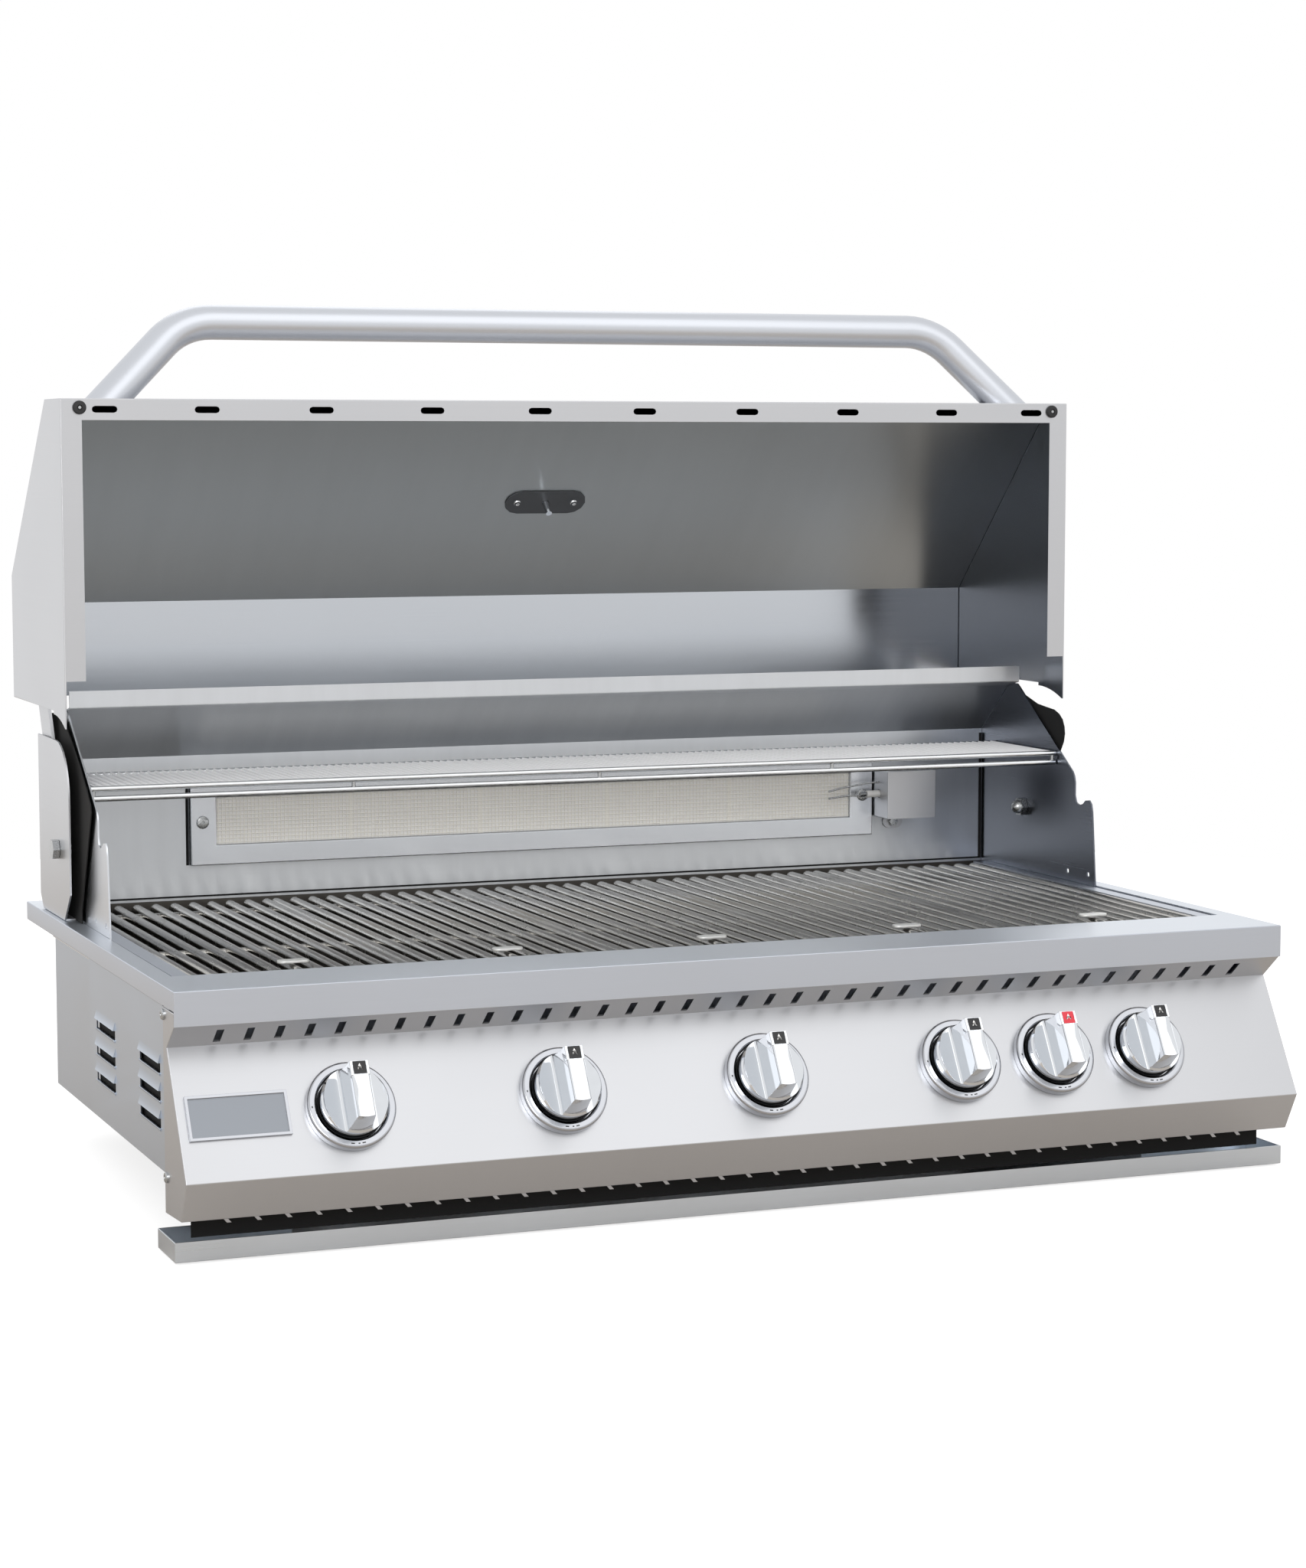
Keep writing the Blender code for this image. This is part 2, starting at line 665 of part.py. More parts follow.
def build_controls():
    """Bezel, sliding stem and turning knob on each valve."""
    bezel = moved_shape(ring_body(BEZEL_RADIUS, BEZEL_BORE, BEZEL_HEIGHT, BEZEL_BEVEL, 28),
                        Matrix.Translation(Vector((0, 0, FIT))))
    stem = turned([(-STEM_TAIL, STEM_RADIUS), (STEM_TOP, STEM_RADIUS)], "Z", 12)
    disc = turned([(KNOB_FOOT, KNOB_RADIUS), (KNOB_TOP - KNOB_BEVEL, KNOB_RADIUS),
                   (KNOB_TOP, KNOB_RADIUS - KNOB_BEVEL)], "Z", 28)
    half_grip = GRIP_WIDTH / 2
    grip = block((-half_grip, -GRIP_LENGTH / 2, KNOB_FOOT + KNOB_BEVEL),
                 (half_grip, GRIP_LENGTH / 2, GRIP_HEIGHT))
    bore = turned([(KNOB_FOOT - OVERRUN, STEM_RADIUS + FIT), (STEM_TOP + FIT, STEM_RADIUS + FIT)], "Z", 12)
    for number, across in enumerate(knob_places(), start=1):
        place = panel_place(across, KNOB_DOWN_SLOPE)
        piece(f"bezel_{number}", bezel, CHROMED, place, smooth=True)
        piece(f"valve_stem_{number}", stem, FASTENER, place, smooth=True)
        knob = piece(f"knob_{number}", disc, CHROMED, place, smooth=True)
        weld(knob, [grip])
        cut(knob, [bore])


def manifold_axis():
    """The gas pipe's y and z, behind the valves."""
    spot = panel_place(0, KNOB_DOWN_SLOPE) @ Vector((0, 0, -MANIFOLD_DEPTH))
    return spot.y, spot.z


def build_manifold():
    """Gas pipe with one valve body and burner spud for each knob, and the gas inlet."""
    centre = manifold_axis()
    places = knob_places()
    left = places[0] - MANIFOLD_OVERHANG
    right = places[MAIN_BURNERS - 1] + MANIFOLD_OVERHANG
    pipe = turned([(left, MANIFOLD_RADIUS), (right, MANIFOLD_RADIUS), (right, INLET_RADIUS, True),
                   (right + INLET_LENGTH, INLET_RADIUS, True)], "X", 12, centre)
    manifold = piece("gas_manifold", pipe, BRASS, smooth=True)
    half = VALVE_WIDTH / 2
    body = block((-half, -half, -VALVE_TOP - VALVE_LENGTH), (half, half, -VALVE_TOP))
    socket_floor = -STEM_TAIL - PUSH_TRAVEL - FIT
    socket = turned([(socket_floor, STEM_RADIUS + FIT), (-VALVE_TOP + OVERRUN, STEM_RADIUS + FIT)], "Z", 12)
    spud_start = panel_place(0, KNOB_DOWN_SLOPE) @ Vector((0, 0, -VALVE_TOP - VALVE_LENGTH / 2))
    spud_z = -BURNER_DROP - SPUD_DROP
    bodies = [moved_shape(body, panel_place(across, KNOB_DOWN_SLOPE)) for across in places]
    sockets = [moved_shape(socket, panel_place(across, KNOB_DOWN_SLOPE)) for across in places]
    spuds = [turned([(spud_start.y, SPUD_RADIUS), (burner_mouth() - FIT, SPUD_RADIUS)], "Y", 8,
                    (across, spud_z)) for across in places[:MAIN_BURNERS]]
    weld(manifold, bodies)
    weld(manifold, spuds)
    cut(manifold, sockets)


def burner_mouth():
    """Front end of the burner tubes."""
    return BOX_FRONT - FIT - BURNER_MOUTH_LENGTH


def build_firebox():
    """Welded tub with grate and flame tamer ledges, a drip opening and the tray's runners."""
    box = piece("firebox", block((-BOX_OUTER, BOX_FRONT, BOX_FLOOR), (BOX_OUTER, BOX_REAR, UNDER_TRIM)),
                HEAT_TINTED)
    front = BOX_FRONT + SHEET
    rear = BOX_REAR - SHEET
    tamer_under = TAMER_REST - SHEET
    grate_under = GRATE_REST - SHEET
    cut(box, [block((-BOX_INNER, front, GRATE_REST), (BOX_INNER, rear, OVERRUN))])
    cut(box, [block((-BOX_INNER, front, TAMER_REST), (BOX_INNER, rear, grate_under))])
    cut(box, [block((-BOX_INNER, front, BOX_FLOOR + SHEET), (BOX_INNER, rear, tamer_under))])
    cut(box, [block((-BOX_INNER, front + GRATE_LEDGE, grate_under - TINY_OVERLAP),
                    (BOX_INNER, rear - GRATE_LEDGE, GRATE_REST + TINY_OVERLAP))])
    cut(box, [block((-BOX_INNER, front + TAMER_LEDGE, tamer_under - TINY_OVERLAP),
                    (BOX_INNER, rear - TAMER_LEDGE, TAMER_REST + TINY_OVERLAP))])
    drip_half = TRAY_PAN_HALF - DRIP_SIDE_MARGIN
    drip_rear = TRAY_DEPTH - TRAY_FRONT - DRIP_REAR_MARGIN
    cut(box, [block((-drip_half, BOX_FRONT + DRIP_FRONT_MARGIN, BOX_FLOOR - OVERRUN),
                    (drip_half, drip_rear, BOX_FLOOR + OVERRUN))])
    tube_hole = BURNER_RADIUS + FIT
    spigot_hole = SPIGOT_RADIUS + FIT
    holes = []
    for across in knob_places()[:MAIN_BURNERS]:
        centre = (across, -BURNER_DROP)
        holes.append(turned([(BOX_FRONT - OVERRUN, tube_hole), (front + OVERRUN, tube_hole)],
                            "Y", 14, centre))
        holes.append(turned([(rear - OVERRUN, spigot_hole), (BOX_REAR + OVERRUN, spigot_hole)],
                            "Y", 14, centre))
    cut(box, holes)
    weld(box, [on_side(runner_shape(), side) for side in (-1, 1)])


def runner_shape():
    """Hanging runner with the foot that carries the grill and the tray above it."""
    web = TRAY_PAN_HALF + RUNNER_GAP
    top = BOX_FLOOR + TINY_OVERLAP
    line = [(web - RUNNER_FOOT, RUNNER_BASE), (web + THIN_SHEET, RUNNER_BASE), (web + THIN_SHEET, top)]
    start = max(TRAY_WIDE_DEPTH - TRAY_FRONT + RUNNER_FRONT_GAP, BOX_FRONT)
    return prism(sheet_outline(line, THIN_SHEET), "Y", start, TRAY_DEPTH - TRAY_FRONT)


def build_burners():
    """Tube burners with a flared mouth at the front and a spigot in the rear wall."""
    mouth = burner_mouth()
    body_start = mouth + BURNER_MOUTH_LENGTH
    body_end = BOX_REAR - SHEET - BURNER_END_GAP
    for number, across in enumerate(knob_places()[:MAIN_BURNERS], start=1):
        profile = [(mouth, BURNER_MOUTH_RADIUS), (mouth + BURNER_MOUTH_LENGTH / 2, BURNER_MOUTH_RADIUS),
                   (body_start, BURNER_RADIUS), (body_end, BURNER_RADIUS),
                   (body_end + BURNER_RADIUS, SPIGOT_RADIUS), (BOX_REAR, SPIGOT_RADIUS)]
        tube = turned(profile, "Y", 14, (across, -BURNER_DROP))
        piece(f"burner_{number}", tube, HEAT_TINTED, smooth=True)


def build_flame_tamers():
    """Folded roofs over the burners that lie on the lower ledges."""
    foot = TAMER_REST + FIT
    half = TAMER_WIDTH / 2
    start = BOX_FRONT + SHEET + FIT
    end = BOX_REAR - SHEET - FIT
    for number, across in enumerate(knob_places()[:MAIN_BURNERS], start=1):
        line = [(across - half, foot), (across, foot + TAMER_RISE), (across + half, foot)]
        piece(f"flame_tamer_{number}", prism(sheet_outline(line, SHEET), "Y", start, end), HEAT_TINTED)


def build_grates():
    """Cooking grates of parallel rods on cross rods, with ends turned down to the ledges."""
    front = TRIM_FRONT_LEDGE + FIT
    rear = BOX_REAR - SHEET - GRATE_REAR_GAP
    foot = GRATE_TOP - GRATE_FOOT
    line = [(rear, foot), (rear, GRATE_TOP), (front, GRATE_TOP), (front, foot)]
    profile = sheet_outline(line, GRATE_ROD)
    rod_pitch = (GRATE_WIDTH - GRATE_ROD) / (GRATE_RODS - 1)
    first_cross, second_cross = GRATE_CROSS_PLACES
    spans = ((-OVERRUN, first_cross), (first_cross + GRATE_ROD, second_cross),
             (second_cross + GRATE_ROD, rear - front - 2 * GRATE_ROD))
    for number in range(GRATE_COUNT):
        middle = (number - (GRATE_COUNT - 1) / 2) * (GRATE_WIDTH + GRATE_GAP)
        left = middle - GRATE_WIDTH / 2
        grate = piece(f"grate_{number + 1}", prism(profile, "X", left, left + GRATE_WIDTH), ROD_STEEL)
        gaps = []
        for rod in range(GRATE_RODS - 1):
            start = left + rod * rod_pitch + GRATE_ROD
            end = left + (rod + 1) * rod_pitch
            for near, far in spans:
                gaps.append(block((start, front + near, foot - OVERRUN), (end, front + far, OVERRUN)))
        cut(grate, gaps)


def build_rear_hood():
    """Rear wall that leans forward into a hemmed lip."""
    lean_top = HOOD_RISE + HOOD_LEAN_RISE
    lip_y = HOOD_FACE - HOOD_LEAN - HOOD_LIP
    lip_z = lean_top + HOOD_LIP_RISE
    line = [(HOOD_FACE, -HOOD_SKIRT), (HOOD_FACE, HOOD_RISE), (HOOD_FACE - HOOD_LEAN, lean_top),
            (lip_y, lip_z), (lip_y, lip_z + HOOD_HEM)]
    piece("rear_hood", prism(sheet_outline(line, -SHEET), "X", -BOX_OUTER, BOX_OUTER), BRUSHED)


def build_side_shields():
    """Side plates with the notched front edge, seated beside the firebox walls."""
    rear = HOOD_BACK
    front = rear - SHIELD_DEPTH
    outline = [(front, -SHIELD_SKIRT)]
    outline += [(front + SHIELD_DEPTH * along, SHIELD_HEIGHT * rise) for along, rise in SHIELD_EDGE_SHARES]
    outline.append((rear, -SHIELD_SKIRT))
    holes = [through_hole(front + SHIELD_DEPTH * along, SHIELD_HEIGHT * rise, SHIELD_HOLE_RADIUS)
             for along, rise in SHIELD_HOLE_SHARES]
    holes.append(through_hole(HINGE_Y, HINGE_RISE, PIN_RADIUS + FIT))
    holes += [through_hole(front_of_rack() + along, RACK_TOP - RACK_ROD / 2, RACK_PIN_RADIUS + FIT)
              for along in RACK_PIN_PLACES]
    for side, word in ((-1, "left"), (1, "right")):
        shield = piece(f"side_shield_{word}",
                       on_side(prism(outline, "X", SHIELD_INNER, SHIELD_OUTER), side), BRUSHED)
        cut(shield, [on_side(hole, side) for hole in holes])


def through_hole(along, rise, radius):
    """Cutter across the gap between a shield and its ear."""
    return turned([(SHIELD_INNER - OVERRUN, radius), (LID_OUTER + OVERRUN, radius)], "X", 12, (along, rise))


def build_side_panels():
    """Outer side panels, each with two columns of louvres."""
    outer = HALF - SIDE_INSET
    inner = outer - THIN_SHEET
    foot = UNDER_TRIM - SIDE_HEIGHT
    hoods = []
    slits = []
    for column in LOUVRE_COLUMNS:
        start = SIDE_FRONT + column
        for row in range(LOUVRE_ROWS):
            edge = UNDER_TRIM - LOUVRE_FIRST_DROP - row * LOUVRE_ROW_PITCH
            section = [(outer - TINY_OVERLAP, edge + LOUVRE_HEIGHT), (outer + LOUVRE_PROUD, edge),
                       (outer - TINY_OVERLAP, edge)]
            hoods.append(prism(section, "Y", start, start + LOUVRE_LENGTH))
            end = start + LOUVRE_LENGTH - TINY_OVERLAP
            slits.append(block((inner - OVERRUN, start + TINY_OVERLAP, edge - LOUVRE_SLIT),
                               (outer + OVERRUN, end, edge - TINY_OVERLAP)))
    for side, word in ((-1, "left"), (1, "right")):
        plate = block((inner, SIDE_FRONT, foot), (outer, SIDE_FRONT + SIDE_LENGTH, UNDER_TRIM))
        panel = piece(f"side_panel_{word}", on_side(plate, side), BRUSHED)
        weld(panel, [on_side(hood, side) for hood in hoods])
        cut(panel, [on_side(slit, side) for slit in slits])


def build_hinges():
    """Outer ears on the trim and the bolts that carry the lid's arms."""
    front = HINGE_Y - EAR_FRONT
    rear = HINGE_Y + EAR_REAR
    outline = [(front + EAR_CHAMFER, FIT), (front, FIT + EAR_CHAMFER)]
    outline += arc((front + EAR_CORNER, EAR_HEIGHT - EAR_CORNER), EAR_CORNER, 180, 90, 8)
    outline += [(rear, EAR_HEIGHT), (rear, FIT + EAR_CHAMFER / 2), (rear - EAR_CHAMFER / 2, FIT)]
    foot = block((EAR_OUTER - EAR_FOOT, front + EAR_CHAMFER + FIT, FIT),
                 (EAR_OUTER - TINY_OVERLAP, rear - EAR_CHAMFER / 2 - FIT, FIT + SHEET))
    bolt = [(SHIELD_INNER - FIT - NUT_THICKNESS, NUT_RADIUS, True), (SHIELD_INNER - FIT, NUT_RADIUS, True),
            (SHIELD_INNER - FIT, PIN_RADIUS), (SHIELD_OUTER + FIT, PIN_RADIUS),
            (SHIELD_OUTER + FIT, COLLAR_RADIUS), (ARM_INNER - FIT, COLLAR_RADIUS),
            (ARM_INNER - FIT, PIN_RADIUS), (EAR_OUTER + FIT, PIN_RADIUS),
            (EAR_OUTER + FIT, NUT_RADIUS, True), (EAR_OUTER + FIT + NUT_THICKNESS, NUT_RADIUS, True)]
    for side, word in ((-1, "left"), (1, "right")):
        ear = piece(f"hinge_ear_{word}", on_side(prism(outline, "X", EAR_INNER, EAR_OUTER), side), BRUSHED)
        weld(ear, [on_side(foot, side)])
        cut(ear, [on_side(through_hole(HINGE_Y, HINGE_RISE, PIN_RADIUS + FIT), side)])
        piece(f"hinge_bolt_{word}", on_side(turned(bolt, "X", 12), side), FASTENER, hinge_place())


def rear_place(across, rise):
    """Frame on the rear wall's front face: y stays to the rear."""
    return Matrix.Translation(Vector((across, HOOD_FACE - FIT, rise)))


def build_rear_burner():
    """Infrared burner box on the rear wall, its ceramic tile and the igniter."""
    half = REAR_BURNER_HALF
    burner_box = block((-half, -REAR_BURNER_DEPTH, 0), (half, 0, REAR_BURNER_HEIGHT))
    burner = piece("rear_burner_frame", burner_box, BRUSHED, rear_place(0, REAR_BURNER_FOOT))
    cut(burner, [block((-TILE_HALF, -REAR_BURNER_DEPTH - OVERRUN, TILE_FOOT),
                       (TILE_HALF, OVERRUN, TILE_FOOT + TILE_HEIGHT))])
    piece("rear_burner_tile", block((-TILE_HALF + FIT, -REAR_BURNER_DEPTH + TILE_SUNK, TILE_FOOT + FIT),
                                    (TILE_HALF - FIT, 0, TILE_FOOT + TILE_HEIGHT - FIT)),
          CERAMIC, rear_place(0, REAR_BURNER_FOOT))
    left = half + IGNITER_GAP
    right = left + IGNITER_WIDTH
    middle = -IGNITER_DEPTH / 2
    rise = IGNITER_HEIGHT / 2
    box = piece("igniter_box", block((left, -IGNITER_DEPTH, 0), (right, 0, IGNITER_HEIGHT)),
                BRUSHED, rear_place(0, IGNITER_FOOT))
    cut(box, [block((left + SHEET, -IGNITER_DEPTH + SHEET, -OVERRUN),
                    (right - SHEET, OVERRUN, IGNITER_HEIGHT - SHEET))])
    wire_hole = ELECTRODE_RADIUS + FIT
    cut(box, [turned([(left - OVERRUN, wire_hole), (left + OVERRUN, wire_hole)],
                     "X", 12, (middle, rise))])
    ceramic_end = left - ELECTRODE_CERAMIC
    rod = [(left + ELECTRODE_INSIDE, ELECTRODE_RADIUS), (ceramic_end, ELECTRODE_RADIUS),
           (ceramic_end, ELECTRODE_TIP_RADIUS), (ceramic_end - ELECTRODE_TIP, ELECTRODE_TIP_RADIUS)]
    piece("igniter_electrode", turned(rod, "X", 12, (middle, rise)), PORCELAIN,
          rear_place(0, IGNITER_FOOT), smooth=True)


def front_of_rack():
    """The warming rack's front edge."""
    return HOOD_FACE - RACK_REAR_GAP - RACK_DEPTH


def build_warming_rack():
    """Wire rack with a deep front edge, held by pins in the side shields."""
    half = BOX_OUTER - RACK_SIDE_GAP
    front = front_of_rack()
    rear = front + RACK_DEPTH
    line = [(rear, RACK_TOP), (front, RACK_TOP), (front, RACK_TOP - RACK_DROP)]
    rack = piece("warming_rack", prism(sheet_outline(line, RACK_ROD), "X", -half, half), SATIN)
    gaps = spaced_gaps(half, RACK_WIRE_PITCH)
    cut(rack, [block((start, front + RACK_ROD, RACK_TOP - RACK_ROD - OVERRUN),
                     (end, rear - RACK_ROD, RACK_TOP + OVERRUN)) for start, end in gaps])
    windows = spaced_gaps(half, RACK_POST_PITCH)
    cut(rack, [block((start, front - OVERRUN, RACK_TOP - RACK_DROP + RACK_ROD),
                     (end, front + RACK_ROD + OVERRUN, RACK_TOP - RACK_ROD)) for start, end in windows])
    pins = []
    for side in (-1, 1):
        for along in RACK_PIN_PLACES:
            pin = turned([(half - OVERRUN, RACK_PIN_RADIUS), (SHIELD_OUTER, RACK_PIN_RADIUS)], "X", 10,
                         (front + along, RACK_TOP - RACK_ROD / 2))
            pins.append(on_side(pin, side))
    weld(rack, pins)


def spaced_gaps(half, near_pitch):
    """Openings between rack bars, spaced evenly and as near to a pitch as they can be."""
    span = 2 * half - RACK_ROD
    count = round(span / near_pitch)
    pitch = span / count
    return [(-half + index * pitch + RACK_ROD, -half + (index + 1) * pitch) for index in range(count)]


def build_drip_tray():
    """Tray with a full-width front and a narrower pan behind it."""
    half = HALF + TRAY_SIDE_PROUD
    pan = TRAY_PAN_HALF
    front = -TRAY_FRONT
    step = front + TRAY_WIDE_DEPTH
    rear = front + TRAY_DEPTH
    top = -TRAY_TOP_DROP
    outline = [(-half, front), (half, front), (half, step), (pan, step),
               (pan, rear), (-pan, rear), (-pan, step), (-half, step)]
    wall = THIN_SHEET
    inside = [(-half + wall, front + wall), (half - wall, front + wall), (half - wall, step - wall),
              (pan - wall, step - wall), (pan - wall, rear - wall), (-pan + wall, rear - wall),
              (-pan + wall, step - wall), (-half + wall, step - wall)]
    tray = piece("drip_tray", prism(outline, "Z", TRAY_FLOOR, top), BRUSHED)
    cut(tray, [prism(inside, "Z", TRAY_FLOOR + wall, top + OVERRUN)])


def lid_line():
    """Outer line of the lid from rim to back, seen from the side, about the hinge."""
    bevel = math.radians(LID_BEVEL_DEG)
    rim = (-LID_RIM, LID_TOP)
    bend = (rim[0] + LID_FLAT, LID_TOP)
    run = LID_BACK - bend[0]
    back = (LID_BACK, LID_TOP - run * math.tan(bevel))
    return [rim, bend, back, (LID_BACK, LID_SKIRT_RISE)]


def liner_line():
    """Inner face of the lid's liner, parallel to the outer bevel."""
    bevel = math.radians(LID_BEVEL_DEG)
    rim = (-LID_RIM + SHEET + FIT, LID_TOP - LIP_HEIGHT)
    bend = (-LID_RIM + LINER_FLAT, rim[1])
    back_y = LID_BACK - LINER_BACK_GAP
    back = (back_y, rim[1] - (back_y - bend[0]) * math.tan(bevel))
    return [rim, bend, back, (back_y, LID_SKIRT_RISE + FIT)]


def build_lid_shell():
    """Outer lid with its sides, the turned-in rim and the slotted lip."""
    line = lid_line()
    tip_deg = math.degrees(math.acos((-LID_RIM + SHEET) / LID_ARC_RADIUS))
    ear_arc = arc((0, 0), LID_ARC_RADIUS, 90, tip_deg, 6)
    outline = line + [(0, LID_SKIRT_RISE)] + ear_arc + [(-LID_RIM, ear_arc[-1][1])]
    shell = piece("lid_shell", prism(outline, "X", -LID_OUTER, LID_OUTER), BRUSHED, hinge_place())
    inner = offset_line(line, -SHEET)
    behind_rim = -LID_RIM + SHEET
    hollow = [(behind_rim, inner[0][1])] + inner[1:3] + [(inner[3][0], 0), (behind_rim, 0)]
    cut(shell, [prism(hollow, "X", -LID_INNER, LID_INNER)])
    rim_front = -LID_RIM - OVERRUN
    rim_back = behind_rim + TINY_OVERLAP
    opening = LID_OUTER - RIM_FLANGE
    cut(shell, [block((-opening, rim_front, 0), (opening, rim_back, LID_TOP - LIP_HEIGHT))])
    cut(shell, [block((-LID_INNER, rim_front, 0), (LID_INNER, rim_back, RIM_FLANGE_FOOT))])
    slot = stadium(LIP_SLOT_LENGTH, LIP_SLOT_HEIGHT, 4)
    slot_rise = LID_TOP - LIP_SLOT_DROP
    slots = []
    for share in LIP_SLOT_SHARES:
        for side in (-1, 1):
            middle = side * LID_OUTER * share
            outline = [(middle + across, slot_rise + rise) for across, rise in slot]
            slots.append(prism(outline, "Y", rim_front, rim_back))
    cut(shell, slots)
    cut(shell, [moved_shape(gauge_hole(), gauge_local())])


def gauge_local():
    """Frame on the outer bevel about the hinge: z out of the lid, y up the bevel."""
    bevel = math.radians(LID_BEVEL_DEG)
    bend = lid_line()[1]
    spot = Vector((0, bend[0] + GAUGE_DOWN_BEVEL * math.cos(bevel),
                   bend[1] - GAUGE_DOWN_BEVEL * math.sin(bevel)))
    return Matrix.Translation(spot) @ Matrix.Rotation(-bevel, 4, "X")


def liner_depth():
    """Distance from the lid's outer bevel in to the liner's inner face."""
    bevel = math.radians(LID_BEVEL_DEG)
    outer = lid_line()[1]
    inner = liner_line()[1]
    return (outer[0] - inner[0]) * math.sin(bevel) + (outer[1] - inner[1]) * math.cos(bevel)


def gauge_hole():
    """Cutter for the thermometer stem through shell, liner and plate."""
    reach = liner_depth() + OVERRUN * 2
    return turned([(-reach, GAUGE_STEM_RADIUS + FIT), (OVERRUN, GAUGE_STEM_RADIUS + FIT)], "Z", 12)


def build_lid_liner():
    """Inner skin of the lid."""
    half = LID_INNER - FIT
    liner = piece("lid_liner", prism(sheet_outline(liner_line(), LINER_SHEET), "X", -half, half),
                  HEAT_TINTED, hinge_place())
    cut(liner, [moved_shape(gauge_hole(), gauge_local())])


def build_thermometer():
    """Dial on the lid's outside and the probe plate inside it."""
    place = hinge_place() @ gauge_local()
    probe_end = -liner_depth() - GAUGE_PROBE
    profile = [(probe_end, GAUGE_STEM_RADIUS), (FIT, GAUGE_STEM_RADIUS), (FIT, GAUGE_RADIUS),
               (FIT + GAUGE_THICKNESS - BEZEL_BEVEL, GAUGE_RADIUS),
               (FIT + GAUGE_THICKNESS, GAUGE_RADIUS - BEZEL_BEVEL)]
    piece("thermometer", turned(profile, "Z", 20), CHROMED, place, smooth=True)
    face = -liner_depth() - FIT
    plate = piece("probe_plate", prism(stadium(PROBE_PLATE_LENGTH, PROBE_PLATE_HEIGHT, 6), "Z",
                                       face - THIN_SHEET, face), SATIN, place)
    rivet = [(face - THIN_SHEET - PROBE_RIVET_HEIGHT, PROBE_RIVET_RADIUS),
             (face - THIN_SHEET / 2, PROBE_RIVET_RADIUS)]
    weld(plate, [turned(rivet, "Z", 10, (side * PROBE_RIVET_PITCH / 2, 0)) for side in (-1, 1)])
    cut(plate, [gauge_hole()])


def build_handle():
    """Bent tube that stands on the lid's lip face."""
    seat = LID_TOP + FIT
    foot_y = -LID_RIM + HANDLE_FOOT_DEPTH
    bar_y = -LID_RIM + HANDLE_BAR_DEPTH
    bar_z = LID_TOP + HANDLE_STANDOFF
    foot = Vector((HANDLE_FOOT_X, foot_y, seat))
    corner = Vector((HANDLE_BAR_X, bar_y, bar_z))
    buried = foot - (corner - foot).normalized() * HANDLE_RADIUS * 2
    corners = [(-buried.x, buried.y, buried.z), (-corner.x, corner.y, corner.z), corner, buried]
    path = rounded_path(corners, HANDLE_BEND, 6)
    handle = piece("lid_handle", swept_rod(path, HANDLE_RADIUS, 14), SATIN, hinge_place(), smooth=True)
    reach = HANDLE_FOOT_X + HANDLE_RADIUS * 4
    depth = LID_RIM + HANDLE_BAR_DEPTH
    cut(handle, [block((-reach, -depth, seat - HANDLE_RADIUS * 4), (reach, depth, seat))])


def build_lid_arms():
    """Arms between the hinge bolts and the lid's sides."""
    lean = Matrix.Rotation(math.radians(ARM_LEAN_DEG), 4, "X")
    outline = arc((0, 0), ARM_HALF_WIDTH, 90, 270, 8)
    outline += [(ARM_LENGTH, -ARM_HALF_WIDTH), (ARM_LENGTH, ARM_HALF_WIDTH)]
    plate = moved_shape(prism(outline, "X", ARM_INNER, ARM_OUTER), lean)
    pad = moved_shape(block((ARM_OUTER - TINY_OVERLAP, ARM_LENGTH - ARM_PAD_LENGTH, -ARM_PAD_HALF_WIDTH),
                            (LID_INNER - FIT, ARM_LENGTH - OVERRUN, ARM_PAD_HALF_WIDTH)), lean)
    pin_hole = PIN_RADIUS + FIT
    hole = turned([(ARM_INNER - OVERRUN, pin_hole), (ARM_OUTER + OVERRUN, pin_hole)], "X", 12)
    for side, word in ((-1, "left"), (1, "right")):
        arm = piece(f"lid_arm_{word}", on_side(plate, side), BRUSHED, hinge_place())
        weld(arm, [on_side(pad, side)])
        cut(arm, [on_side(hole, side)])


def make_frame():
    """Stand the case frame on the runner feet, centred between knobs and open lid."""
    knob_tip = panel_place(0, KNOB_DOWN_SLOPE) @ Vector((0, -GRIP_LENGTH / 2, GRIP_HEIGHT))
    front = knob_tip.y
    back = HINGE_Y + LID_BACK
    frame = bpy.data.objects.new("grill_frame", None)
    bpy.context.collection.objects.link(frame)
    frame.location = (0, -(front + back) / 2, -RUNNER_BASE)


def main():
    """Build every piece of the grill."""
    clear_scene()
    make_frame()
    build_trim()
    build_control_panel()
    build_badge()
    build_controls()
    build_manifold()
    build_firebox()
    build_burners()
    build_flame_tamers()
    build_grates()
    build_rear_hood()
    build_side_shields()
    build_side_panels()
    build_hinges()
    build_rear_burner()
    build_warming_rack()
    build_drip_tray()
    build_lid_shell()
    build_lid_liner()
    build_thermometer()
    build_handle()
    build_lid_arms()


main()
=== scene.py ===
"""Looks of a built-in gas grill with its lid open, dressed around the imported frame.

Lengths are in metres. Places come from the frame's nodes and joints, or from the sizes
that each sub-assembly's class holds. The case frame has x = 0 on the centre line,
y = 0 on the apron's front face and z = 0 on top of the trim, and the numbers that go
through case() are millimetres in it.
"""

import json
import logging
import math
from collections.abc import Callable, Iterable, Mapping, Sequence
from dataclasses import dataclass
from enum import Enum

import bmesh
import bpy
from mathutils import Matrix, Vector


